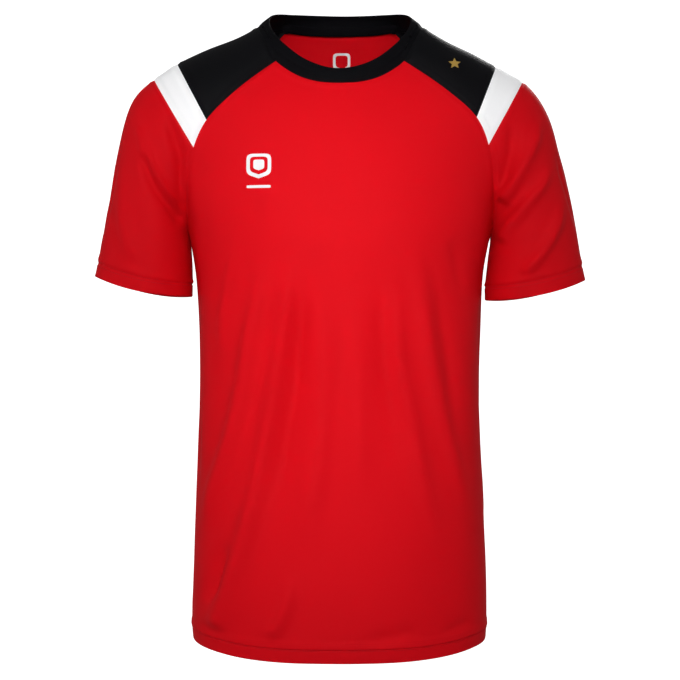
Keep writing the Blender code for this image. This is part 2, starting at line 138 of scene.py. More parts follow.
CUFF_RINGS = (
    # under_x under_z  top_x   top_z   depth   droop   lean_x  lean_z
    Cuff(0.1740, -0.2680, 0.2700, -0.2110, 0.0610, 0.0000, 0.0000, 0.0000),
    Cuff(0.1722, -0.2880, 0.2775, -0.2480, 0.0590, 0.0025, -0.0006, -0.0008),
    Cuff(0.1712, -0.3060, 0.2832, -0.2810, 0.0575, 0.0060, -0.0014, -0.0018),  # hem stitching
    Cuff(0.1712, -0.3205, 0.2866, -0.2968, 0.0565, 0.0070, -0.0014, -0.0022),  # hem edge
)


class Lean(NamedTuple):
    """How the wearer's right shoulder sits higher and further out than the left, row by row."""

    seam_x: float
    seam_z: float
    top_x: float
    top_z: float


LEANS = (
    # seam_x  seam_z   top_x    top_z
    Lean(0.0000, 0.0000, 0.0000, 0.0000),
    Lean(0.0005, 0.0006, -0.0010, -0.0006),
    Lean(0.0012, 0.0010, -0.0026, -0.0012),
    Lean(0.0018, 0.0015, -0.0042, -0.0016),
    Lean(0.0012, 0.0015, -0.0022, -0.0014),
    Lean(0.0004, 0.0008, -0.0030, -0.0016),
    Lean(0.0000, 0.0000, -0.0026, -0.0010),
    Lean(0.0000, 0.0000, -0.0020, -0.0005),
    Lean(0.0000, 0.0000, -0.0014, 0.0000),
)


class Level(NamedTuple):
    """The middle of the front and of the back at one row of the raglan seams."""

    front_y: float
    front_z: float
    back_y: float
    back_z: float
    roundness: float  # 0 is a shallow bow between the seams, 1 is a full oval


LEVELS = (
    # front_y front_z  back_y  back_z  roundness
    Level(-0.0750, -0.0780, 0.0700, 0.0010, 0.00),  # neckline
    Level(-0.0850, -0.0960, 0.0790, -0.0250, 0.00),
    Level(-0.0930, -0.1130, 0.0880, -0.0500, 0.00),
    Level(-0.1000, -0.1330, 0.0960, -0.0780, 0.05),
    Level(-0.1070, -0.1550, 0.1030, -0.1080, 0.15),
    Level(-0.1130, -0.1780, 0.1090, -0.1400, 0.35),
    Level(-0.1180, -0.2030, 0.1130, -0.1750, 0.60),
    Level(-0.1210, -0.2270, 0.1150, -0.2120, 0.85),
    Level(-0.1230, -0.2520, 0.1150, -0.2500, 1.00),  # armpit
)


# ---------------------------------------------------------------- named choices
class Panel(Enum):
    """A piece of cloth, with its number on the cage and the record's finish for it."""

    FRONT = ("front", "red_knit")
    BACK = ("back", "red_knit")
    YOKE_LEFT = ("yoke_left", "black_knit")
    YOKE_RIGHT = ("yoke_right", "black_knit")
    STRIPE_LEFT = ("stripe_left", "white_knit")
    STRIPE_RIGHT = ("stripe_right", "white_knit")
    SLEEVE_LEFT = ("sleeve_left", "red_knit")
    SLEEVE_RIGHT = ("sleeve_right", "red_knit")
    COLLAR = ("collar", "black_rib")

    def __init__(self, node: str, slot: str) -> None:
        """Keeps the CAD node that this piece stands for and its finish."""
        self.node = node
        self.slot = slot

    @property
    def number(self) -> int:
        """The panel's place in the cage's list of materials."""
        return list(Panel).index(self)

    @property
    def region(self) -> "Region":
        """The part of the garment that this panel belongs to.

        Returns:
            The region it creases with.
        """
        if self in (Panel.FRONT, Panel.BACK):
            return Region.TORSO
        return Region.NECK if self is Panel.COLLAR else Region.ARM


class Region(Enum):
    """The parts of the garment that crease together."""

    TORSO = 0
    ARM = 1
    NECK = 2


class Side(Enum):
    """The side that a crease is drawn from: across axis, its facing direction."""

    FRONT = (0, (0.0, -1.0, 0.0))
    BACK = (0, (0.0, 1.0, 0.0))
    LEFT = (1, (1.0, 0.0, 0.0))
    RIGHT = (1, (-1.0, 0.0, 0.0))

    @property
    def across(self) -> int:
        """The axis that runs across this view."""
        return self.value[0]

    @property
    def facing(self) -> np.ndarray:
        """The direction from the garment to whoever looks at this side."""
        return np.array(self.value[1])


# ---------------------------------------------------------------- creases (millimetres)
class Crease(NamedTuple):
    """A soft trough, or a ridge where depth is below 0, drawn on one side of the garment."""

    path: tuple[tuple[float, float], ...]  # across and height
    first_width: float  # half-width where it starts
    last_width: float
    depth: float
    fade_in: float = 0.30  # the share of its length over which it comes up
    fade_out: float = 0.30


CREASES: dict[tuple[Region, Side], tuple[Crease, ...]] = {
    (Region.TORSO, Side.FRONT): (
        # the front, from the wearer's right to the middle
        Crease(((-118, -258), (-126, -306), (-133, -347), (-134, -395)), 6, 6, -3.2),
        Crease(
            ((-82, -258), (-93, -322), (-101, -368), (-109, -418),
             (-118, -461), (-131, -505), (-144, -547), (-157, -602)),
            9, 10, -9.3, 0.35, 0.2,
        ),
        Crease(
            ((-55, -262), (-60, -325), (-66, -375), (-75, -425),
             (-85, -490), (-98, -556), (-112, -610)),
            10, 11, -8.4, 0.25, 0.15,
        ),
        Crease(
            ((-92, -540), (-104, -580), (-112, -608), (-123, -640), (-135, -676), (-142, -702)),
            11, 12, -8.9, 0.45, 0.1,
        ),
        Crease(((-127, -590), (-138, -634), (-149, -674)), 8, 8, 7.4, 0.4, 0.3),
        Crease(
            ((-41, -285), (-44, -345), (-48, -410), (-58, -472), (-65, -515), (-76, -570)),
            9, 11, 6.4,
        ),
        Crease(((-20, -300), (-20, -380), (-22, -470), (-34, -560), (-38, -620)), 14, 16, -6.4),
        Crease(((-52, -625), (-62, -672), (-82, -707)), 9, 9, -6.8, 0.4, 0.2),
        # the front, from the middle to the wearer's left
        Crease(((17, -300), (18, -380), (20, -460), (24, -560)), 14, 16, -4.4),
        Crease(((47, -292), (48, -364), (50, -410), (58, -462), (63, -520)), 9, 9, 4.2),
        Crease(
            ((60, -285), (62, -350), (67, -400), (77, -445),
             (86, -490), (93, -530), (104, -572), (114, -612)),
            9, 10, -5.2, 0.3, 0.3,
        ),
        Crease(
            ((80, -258), (91, -320), (98, -365), (105, -408),
             (113, -450), (122, -487), (138, -538), (153, -580)),
            9, 9, -5.7, 0.3, 0.3,
        ),
        Crease(((97, -268), (111, -322), (120, -372), (127, -430), (133, -480)), 8, 8, 3.1),
        Crease(((126, -252), (133, -285), (139, -318)), 8, 7, 2.6),
        Crease(((24, -706), (60, -700), (92, -692)), 8, 8, 2.9),
        Crease(((112, -700), (138, -692), (152, -686)), 6, 6, 2.1),
    ),
    (Region.ARM, Side.FRONT): (
        # the wearer's right sleeve
        Crease(
            ((-197, -112), (-189, -141), (-183, -160), (-179, -184), (-174, -212), (-173, -232)),
            6, 7, 7.0, 0.25, 0.2,
        ),
        Crease(((-219, -145), (-212, -175), (-203, -191), (-182, -224)), 4.5, 5, -4.0),
        Crease(
            ((-230, -150), (-219, -180), (-210, -198), (-196, -215), (-180, -237)),
            5, 7, 5.2, 0.3, 0.1,
        ),
        Crease(((-233, -120), (-227, -148), (-224, -168)), 5, 5, -2.2),
        Crease(
            ((-251, -165), (-250, -200), (-248, -235), (-243, -258), (-233, -284)),
            7, 8, -4.6, 0.5, 0.2,
        ),
        # the wearer's left sleeve
        Crease(((198, -118), (195, -152), (190, -175), (185, -203)), 8, 7, 5.8, 0.3, 0.25),
        Crease(
            ((231, -108), (222, -142), (214, -160), (205, -178), (194, -197), (182, -214)),
            7, 8, -6.8, 0.35, 0.1,
        ),
        Crease(
            ((246, -160), (233, -189), (219, -208), (206, -225), (195, -239), (183, -260)),
            7, 7, -6.4, 0.4, 0.1,
        ),
        Crease(
            ((258, -200), (250, -232), (243, -250), (235, -264), (225, -278), (207, -298)),
            7, 7, -6.6, 0.4, 0.15,
        ),
    ),
    (Region.TORSO, Side.BACK): (
        # the back: the cloth hangs from the shoulder blades and sinks into the waist
        Crease(((-74, -372), (-30, -398), (24, -408), (66, -420)), 20, 24, 4.4),
        Crease(((-52, -425), (-8, -441), (44, -445)), 14, 16, 2.8),
        Crease(((72, -300), (84, -372), (101, -446), (126, -520), (146, -570)), 9, 8, 4.0),
        Crease(((88, -296), (103, -372), (121, -442), (140, -498)), 8, 7, -3.0),
        Crease(((-70, -290), (-86, -352), (-99, -430), (-118, -516), (-141, -590)), 9, 8, 4.2),
        Crease(((-92, -300), (-104, -362), (-119, -452), (-137, -530)), 8, 7, -2.8),
        Crease(((40, -520), (66, -586), (96, -652), (112, -690)), 9, 8, -3.4),
        Crease(((24, -536), (48, -602), (70, -668)), 9, 9, 2.8),
        Crease(((-34, -548), (-52, -618), (-84, -682)), 10, 8, 3.2),
        Crease(((-4, -600), (-6, -650), (-12, -694)), 10, 12, 2.0),
        Crease(((0, -60), (0, -110), (-3, -170)), 22, 26, 2.2),
        Crease(((-96, -196), (-88, -240), (-78, -284)), 9, 9, 2.4),
        Crease(((102, -190), (92, -236), (76, -290)), 9, 9, 2.6),
    ),
    (Region.ARM, Side.BACK): (
        Crease(((-228, -150), (-214, -186), (-196, -214), (-181, -240)), 6, 7, 4.4),
        Crease(((-240, -176), (-228, -210), (-210, -240), (-190, -268)), 6, 6, -3.6),
        Crease(((-206, -132), (-194, -168), (-183, -200)), 6, 7, 4.0),
        Crease(((226, -156), (212, -190), (196, -216), (182, -240)), 6, 7, 4.4),
        Crease(((242, -180), (230, -214), (214, -240), (192, -264)), 6, 6, -3.6),
        Crease(((206, -136), (195, -170), (184, -204)), 6, 7, 3.8),
    ),
    (Region.ARM, Side.LEFT): (
        # the outside of both sleeves and the two flanks
        Crease(((-30, -150), (-22, -196), (-8, -244)), 7, 9, 3.0),
        Crease(((-4, -140), (6, -190), (10, -236), (4, -276)), 8, 9, -2.4),
        Crease(((32, -168), (26, -214), (12, -262)), 7, 9, 2.8),
    ),
    (Region.ARM, Side.RIGHT): (
        Crease(((-26, -156), (-20, -206), (-10, -256)), 7, 9, 2.8),
        Crease(((6, -136), (12, -196), (6, -252)), 8, 9, -2.2),
        Crease(((34, -160), (30, -212), (18, -258)), 7, 9, 2.9),
    ),
    (Region.TORSO, Side.LEFT): (
        Crease(((-26, -300), (-18, -380), (-4, -470), (4, -540)), 10, 12, 3.0),
        Crease(((20, -320), (26, -410), (22, -500)), 10, 11, -2.6),
        Crease(((-10, -560), (14, -620), (22, -680)), 9, 10, 2.6),
    ),
    (Region.TORSO, Side.RIGHT): (
        Crease(((-22, -310), (-16, -400), (-26, -490), (-40, -560)), 10, 12, 3.0),
        Crease(((18, -300), (24, -390), (16, -480)), 10, 11, -2.4),
        Crease(((4, -540), (10, -610), (-6, -676)), 9, 10, 2.8),
    ),
}


# ---------------------------------------------------------------- the garment's lines
def signed_power(value: float, power: float) -> float:
    """A power that keeps the sign of its base."""
    return math.copysign(abs(value) ** power, value)


@dataclass(frozen=True)
class Pattern:
    """The measured lines of the jersey, and the rules that join them."""

    front_spans: int = 8  # cage quads across the front, and across the back
    sleeve_spans: int = 12  # cage quads over the arm, from the front raglan seam to the back one
    body_lean: float = -0.0005
    oval_power: float = 2.4  # 2 is an ellipse, more is squarer
    dip_power: float = 2.5  # how flat a panel's upper edge is across its middle
    hem_rise_power: float = 2.5  # how late the hem climbs towards the side seams
    collar_half_width: float = 0.0840
    collar_middle_y: float = -0.0030
    collar_half_depth: float = 0.0670
    collar_back_z: float = 0.0180
    collar_drop: float = 0.0792  # from the back of the neck to the front
    collar_power: float = 2.5
    collar_bow: float = 0.0010  # the band stands this much proud of flat, half-way up

    def across(self, position: float, roundness: float) -> tuple[float, float]:
        """Sideways and forward shares at a place between two seams.

        Args:
            position: From -1 at one seam to 1 at the other.
            roundness: 0 for a shallow bow, 1 for a full oval.

        Returns:
            The share of the half-width, and the share of the depth.
        """
        angle = position * math.pi / 2
        oval_side = signed_power(math.sin(angle), 2 / self.oval_power)
        oval_out = abs(math.cos(angle)) ** (2 / self.oval_power)
        side = roundness * oval_side + (1 - roundness) * position
        out = roundness * oval_out + (1 - roundness) * (1 - position * position)
        return side, out

    def ring_point(self, ring: Ring, position: float, towards_back: bool) -> Vector:
        """A point of a body ring, at a position from -1 at the wearer's right to 1 at the left.

        Args:
            ring: The level round the body.
            position: From -1 at the wearer's right side to 1 at the left.
            towards_back: Whether it lies on the back.

        Returns:
            The point.
        """
        middle_y = ring.back_y if towards_back else ring.front_y
        middle_z = ring.back_z if towards_back else ring.front_z
        side, out = self.across(position, 1.0)
        climb = abs(math.sin(position * math.pi / 2)) ** self.hem_rise_power
        z = middle_z + (ring.side_z - middle_z) * climb
        return Vector((self.body_lean + ring.half_width * side, middle_y * out, z))

    def seam_point(self, index: int, towards_back: bool, sign: int) -> Vector:
        """A point of a raglan seam, on the wearer's left where sign is 1.

        Args:
            index: The row, from the neck down.
            towards_back: Whether it is the back seam.
            sign: 1 for the wearer's left, -1 for the right.

        Returns:
            The point.
        """
        row, lean = SHOULDER_ROWS[index], LEANS[index]
        if towards_back:
            return Vector((sign * row.back_x, row.back_y, row.back_z))
        return Vector((sign * row.front_x + lean.seam_x, row.front_y, row.front_z + sign * lean.seam_z))

    def top_point(self, index: int, sign: int) -> Vector:
        """A point of the line along the shoulder and down the outside of the arm."""
        row, lean = SHOULDER_ROWS[index], LEANS[index]
        return Vector((sign * row.top_x + lean.top_x, row.top_y, row.top_z + sign * lean.top_z))

    def panel_point(self, index: int, towards_back: bool, position: float) -> Vector:
        """A point of the upper front or back, at one row of its raglan seams.

        Args:
            index: The row, from the neck down.
            towards_back: Whether it lies on the back.
            position: From -1 at one seam to 1 at the other.

        Returns:
            The point.
        """
        level = LEVELS[index]
        seam = self.seam_point(index, towards_back, 1 if position >= 0 else -1)
        middle_y = level.back_y if towards_back else level.front_y
        middle_z = level.back_z if towards_back else level.front_z
        side, out = self.across(position, level.roundness)
        y = seam.y + (middle_y - seam.y) * out
        z = seam.z + (middle_z - seam.z) * (1 - abs(position) ** self.dip_power)
        return Vector((abs(seam.x) * side, y, z))

    def arm_point(self, index: int, column: int, sign: int) -> Vector:
        """A point of the sleeve above the armpit, on the arc from a raglan seam to the top line.

        Args:
            index: The row, from the neck down.
            column: The place over the arm, from the front seam.
            sign: 1 for the wearer's left, -1 for the right.

        Returns:
            The point.
        """
        row = SHOULDER_ROWS[index]
        half = self.sleeve_spans // 2
        towards_back = column > half
        share = (self.sleeve_spans - column if towards_back else column) / half
        depth = row.back_depth if towards_back else row.front_depth
        seam, top = self.seam_point(index, towards_back, sign), self.top_point(index, sign)
        start = math.asin(min(1.0, abs(seam.y) / depth))
        angle = start + (math.pi - start) * share
        travelled = (math.cos(start) - math.cos(angle)) / (1 + math.cos(start))
        y = (1 if towards_back else -1) * depth * math.sin(angle) + top.y * travelled
        return Vector((seam.x + (top.x - seam.x) * travelled, y, seam.z + (top.z - seam.z) * travelled))

    def cuff_point(self, ring: Cuff, column: int, sign: int) -> Vector:
        """A point of a sleeve ring below the armpit. Column 0 is the underarm seam.

        Args:
            ring: The ring of the sleeve.
            column: The place round it. 0 is the underarm seam.
            sign: 1 for the wearer's left, -1 for the right.

        Returns:
            The point.
        """
        angle = 2 * math.pi * column / self.sleeve_spans
        share = (1 - math.cos(angle)) / 2
        x = sign * (ring.under_x + (ring.top_x - ring.under_x) * share) + ring.lean_x * (1 - share)
        z = ring.under_z + (ring.top_z - ring.under_z) * share + sign * ring.lean_z
        return Vector((x, -ring.depth * math.sin(angle), z - ring.droop * math.sin(angle) ** 2))

    def collar_top_point(self, seam: Vector) -> Vector:
        """The point of the collar's upper edge above a point of its seam.

        Args:
            seam: A point of the collar's seam.

        Returns:
            The point of the fold above it.
        """
        forward_share = (self.collar_middle_y - seam.y) / self.collar_half_depth
        turn = math.atan2(seam.x / self.collar_half_width, forward_share)
        forward = (1 + math.cos(turn)) / 2
        return Vector(
            (
                self.collar_half_width * math.sin(turn),
                self.collar_middle_y - self.collar_half_depth * math.cos(turn),
                self.collar_back_z - self.collar_drop * forward**self.collar_power,
            )
        )


@dataclass
class Cage:
    """The coarse surface of the whole garment, built grid by grid."""

    pattern: Pattern
    points: list[Vector] = field(default_factory=list)
    index: dict[tuple, int] = field(default_factory=dict)
    faces: list[tuple[int, ...]] = field(default_factory=list)
    panels: list[int] = field(default_factory=list)
    layout: list[tuple[float, float]] = field(default_factory=list)  # flat place of each corner

    def point(self, key: tuple, place: Vector) -> int:
        """The number of the point with this key, which is added where it is new.

        Args:
            key: What names the point.
            place: Where it is.

        Returns:
            The point's number.
        """
        if key not in self.index:
            self.index[key] = len(self.points)
            self.points.append(place)
        return self.index[key]

    def torso_vertex(self, row: int, column: int, towards_back: bool) -> int:
        """A vertex of the front or back, rows from the hem up and columns from -X to +X.

        Args:
            row: The row, from the hem up.
            column: The column, from -X to +X.
            towards_back: Whether it lies on the back.

        Returns:
            The vertex's number.
        """
        spans = self.pattern.front_spans
        position = 2 * column / spans - 1
        on_side = column in (0, spans)
        if row < len(RINGS):
            place = self.pattern.ring_point(RINGS[row], position, towards_back)
            return self.point(("ring", row, column, towards_back and not on_side), place)
        index = ARMPIT_ROW - (row - len(RINGS))
        if on_side:
            return self.seam_vertex(index, towards_back, 1 if column else -1)
        place = self.pattern.panel_point(index, towards_back, position)
        return self.point(("panel", index, column, towards_back), place)

    def seam_vertex(self, index: int, towards_back: bool, sign: int) -> int:
        """A vertex of a raglan seam. At the armpit the front and back seams meet.

        Args:
            index: The row, from the neck down.
            towards_back: Whether it is the back seam.
            sign: 1 for the wearer's left, -1 for the right.

        Returns:
            The vertex's number.
        """
        towards_back = towards_back and index != ARMPIT_ROW
        place = self.pattern.seam_point(index, towards_back, sign)
        return self.point(("seam", index, towards_back, sign), place)

    def sleeve_vertex(self, row: int, column: int, sign: int) -> int:
        """A vertex of the sleeve grid, rows from the neck down to the cuff.

        Args:
            row: The row, from the neck down to the cuff.
            column: The place over the arm, from the front seam.
            sign: 1 for the wearer's left, -1 for the right.

        Returns:
            The vertex's number.
        """
        spans = self.pattern.sleeve_spans
        if row > ARMPIT_ROW:
            column %= spans
            place = self.pattern.cuff_point(CUFF_RINGS[row - ARMPIT_ROW - 1], column, sign)
        elif column in (0, spans):
            return self.seam_vertex(row, column > 0, sign)
        else:
            place = self.pattern.arm_point(row, column, sign)
        return self.point(("sleeve", row, column, sign), place)

    def add_grid(self, grid: list[list[int]], panels: list[Panel], middle: int, flip: bool) -> None:
        """Adds the quads of a grid, and lays each of their corners out flat.

        Args:
            grid: Vertex numbers, a list for each row, from the lowest row up.
            panels: The panel of each strip between two rows.
            middle: The column that lies straight on the cut piece.
            flip: Whether the columns run the other way round as seen from outside.
        """
        places = [[self.points[number] for number in row] for row in grid]
        rise = [0.0]
        for lower, upper in zip(places, places[1:]):
            rise.append(rise[-1] + (upper[middle] - lower[middle]).length)
        reach = []
        for row in places:
            along = [0.0]
            for here, there in zip(row, row[1:]):
                along.append(along[-1] + (there - here).length)
            reach.append([value - along[middle] for value in along])
        for row, panel in enumerate(panels):
            for column in range(len(grid[0]) - 1):
                corners = [(row, column), (row, column + 1), (row + 1, column + 1), (row + 1, column)]
                if flip:
                    corners.reverse()
                self.faces.append(tuple(grid[r][c] for r, c in corners))
                self.panels.append(panel.number)
                self.layout.extend((reach[r][c], rise[r]) for r, c in corners)

    def add_torso(self, towards_back: bool) -> None:
        """Adds the front or the back, from the hem to the neckline.

        Args:
            towards_back: Whether to add the back.
        """
        rows = len(RINGS) + ARMPIT_ROW + 1
        columns = range(self.pattern.front_spans + 1)
        grid = [[self.torso_vertex(row, column, towards_back) for column in columns] for row in range(rows)]
        panel = Panel.BACK if towards_back else Panel.FRONT
        self.add_grid(grid, [panel] * (rows - 1), self.pattern.front_spans // 2, flip=towards_back)

    def add_sleeve(self, sign: int) -> None:
        """Adds one arm, from the cuff up to the neck: sleeve, stripe and yoke.

        Args:
            sign: 1 for the wearer's left, -1 for the right.
        """
        last = ARMPIT_ROW + len(CUFF_RINGS)
        spans = self.pattern.sleeve_spans
        rows, columns = range(last, -1, -1), range(spans + 1)
        grid = [[self.sleeve_vertex(row, column, sign) for column in columns] for row in rows]
        yoke, stripe, sleeve = (
            (Panel.YOKE_LEFT, Panel.STRIPE_LEFT, Panel.SLEEVE_LEFT)
            if sign > 0
            else (Panel.YOKE_RIGHT, Panel.STRIPE_RIGHT, Panel.SLEEVE_RIGHT)
        )
        panels = [sleeve] * (last - STRIPE_END_ROW)
        panels += [stripe] * (STRIPE_END_ROW - YOKE_END_ROW)
        panels += [yoke] * YOKE_END_ROW
        self.add_grid(grid, panels, spans // 2, flip=sign < 0)

    def add_collar(self) -> None:
        """Adds the collar band, from its seam up to its fold."""
        front, arm = self.pattern.front_spans, self.pattern.sleeve_spans
        top = len(RINGS) + ARMPIT_ROW
        seam = [self.torso_vertex(top, column, False) for column in range(front)]
        seam += [self.sleeve_vertex(0, column, 1) for column in range(arm)]
        seam += [self.torso_vertex(top, column, True) for column in range(front, 0, -1)]
        seam += [self.sleeve_vertex(0, column, -1) for column in range(arm, 0, -1)]
        middle, upper = [], []
        for number, vertex in enumerate(seam):
            low = self.points[vertex]
            high = self.pattern.collar_top_point(low)
            outward = Vector((low.x, low.y, 0)).normalized() * self.pattern.collar_bow
            middle.append(self.point(("collar", 1, number), (low + high) / 2 + outward))
            upper.append(self.point(("collar", 2, number), high))
        grid = [row + row[:1] for row in (seam, middle, upper)]
        self.add_grid(grid, [Panel.COLLAR] * 2, front // 2, flip=False)

    @classmethod
    def of_garment(cls, pattern: Pattern) -> "Cage":
        """The cage of the whole jersey.

        Args:
            pattern: The garment's lines.

        Returns:
            The whole cage.
        """
        cage = cls(pattern)
        cage.add_torso(towards_back=False)
        cage.add_torso(towards_back=True)
        cage.add_sleeve(1)
        cage.add_sleeve(-1)
        cage.add_collar()
        return cage


# ---------------------------------------------------------------- mesh helpers
def deselect_all() -> None:
    """Leaves nothing selected, so that an operator acts on the new piece alone."""
    bpy.ops.object.select_all(action="DESELECT")


def link(obj: bpy.types.Object) -> bpy.types.Object:
    """Puts an object in the scene."""
    bpy.context.scene.collection.objects.link(obj)
    return obj


def smoothstep(value: np.ndarray) -> np.ndarray:
    """0 below 0, 1 above 1, and an even ease between."""
    value = np.clip(value, 0.0, 1.0)
    return value * value * (3 - 2 * value)


def bell(value: np.ndarray) -> np.ndarray:
    """1 at 0, and soft and fast down to 0 on both sides."""
    return np.exp(-(value**2))


def unit(vectors: np.ndarray) -> np.ndarray:
    """The same directions, with a length of 1."""
    return vectors / np.maximum(np.linalg.norm(vectors, axis=-1, keepdims=True), 1e-12)


def vertex_normals(points: np.ndarray, quads: np.ndarray) -> np.ndarray:
    """The outward direction at each point, from the quads round it.

    Args:
        points: The surface's points.
        quads: Point numbers of its quads.

    Returns:
        A unit vector for each point.
    """
    a, b, c, d = (points[quads[:, corner]] for corner in range(4))
    face = np.cross(c - a, d - b)
    normals = np.zeros_like(points)
    for corner in range(4):
        np.add.at(normals, quads[:, corner], face)
    return unit(normals)


def mesh_object(
    name: str, points: np.ndarray, faces: list, layout: np.ndarray | None = None, sharp: float = 50.0
) -> bpy.types.Object:
    """A smooth-shaded mesh object at the origin.

    Args:
        name: The piece's name.
        points: Its vertices.
        faces: Vertex numbers of each face.
        layout: The flat place of each face corner, which becomes the UV map.
        sharp: The angle in degrees past which an edge isn't shaded smooth.

    Returns:
        The new object, linked to the scene.
    """
    mesh = bpy.data.meshes.new(name)
    mesh.from_pydata(points.tolist(), [], faces)
    if layout is not None:
        mesh.uv_layers.new(name="layout").data.foreach_set("uv", layout.astype(np.float32).ravel())
    mesh.shade_smooth()
    mesh.set_sharp_from_angle(angle=math.radians(sharp))
    return link(bpy.data.objects.new(name, mesh))


def directed_edges(quads: np.ndarray) -> dict[tuple[int, int], tuple[int, int]]:
    """Each directed edge of some quads, with its quad's number and its place in it.

    Args:
        quads: Point numbers of the quads.

    Returns:
        The quad's number and the edge's place in it, for each pair of ends.
    """
    edges = {}
    for number, quad in enumerate(quads.tolist()):
        for place in range(4):
            edges[quad[place], quad[(place + 1) % 4]] = (number, place)
    return edges


@dataclass
class Wall:
    """A sheet with thickness: an outer and an inner face, joined round their edges."""

    points: np.ndarray  # the outer face
    normals: np.ndarray
    quads: np.ndarray
    layout: np.ndarray  # flat place of each quad's corners
    thickness: np.ndarray
    turned: np.ndarray  # whether each point lies on an edge that is folded over
    rim_steps: int = 4

    def edge_outward(self, edges: list[tuple[int, int]]) -> np.ndarray:
        """The direction out of the sheet, in its own plane, at each point of its outline.

        Args:
            edges: The outline's directed edges.

        Returns:
            A unit vector for each point, 0 away from the outline.
        """
        outward = np.zeros_like(self.points)
        for first, second in edges:
            along = self.points[second] - self.points[first]
            away = np.cross(along, self.normals[first])
            outward[first] += away
            outward[second] += away
        return unit(outward)

    def build(self, name: str) -> bpy.types.Object:
        """The closed wall as a mesh object. A turned edge gets a half-round rim.

        Args:
            name: The piece's name.

        Returns:
            The new object.
        """
        count = len(self.points)
        inner = self.points - self.normals * self.thickness[:, None]
        own = directed_edges(self.quads)
        outline = {edge: place for edge, place in own.items() if (edge[1], edge[0]) not in own}
        outward = self.edge_outward(list(outline))
        border = sorted({number for edge in outline for number in edge})
        points = [self.points, inner]
        ladder = {number: [number] for number in border}
        total = 2 * count
        for step in range(1, self.rim_steps):
            angle = math.pi * step / self.rim_steps
            middle = (self.points[border] + inner[border]) / 2
            half = (self.points[border] - inner[border]) / 2
            bulge = outward[border] * (self.thickness[border] / 2 * self.turned[border])[:, None]
            points.append(middle + half * math.cos(angle) + bulge * math.sin(angle))
            for place, number in enumerate(border):
                ladder[number].append(total + place)
            total += len(border)
        for number in border:
            ladder[number].append(number + count)
        faces = self.quads.tolist() + (self.quads[:, ::-1] + count).tolist()
        layout = [self.layout.reshape(-1, 2), self.layout[:, ::-1].reshape(-1, 2)]
        rim_layout = []
        for (first, second), (quad, place) in outline.items():
            here, there = self.layout[quad, place], self.layout[quad, (place + 1) % 4]
            left, right = ladder[first], ladder[second]
            for step in range(self.rim_steps):
                faces.append([right[step], left[step], left[step + 1], right[step + 1]])
                rim_layout.extend((there, here, here, there))
        layout.append(np.array(rim_layout))
        return mesh_object(name, np.concatenate(points), faces, np.concatenate(layout))


# ---------------------------------------------------------------- the smooth cloth
class Hem(NamedTuple):
    """The folded and stitched edge of the body or of one sleeve."""

    cloth: np.ndarray  # which points of the garment belong to that body or sleeve
    stitched: float  # how far above its edge the fold is sewn down


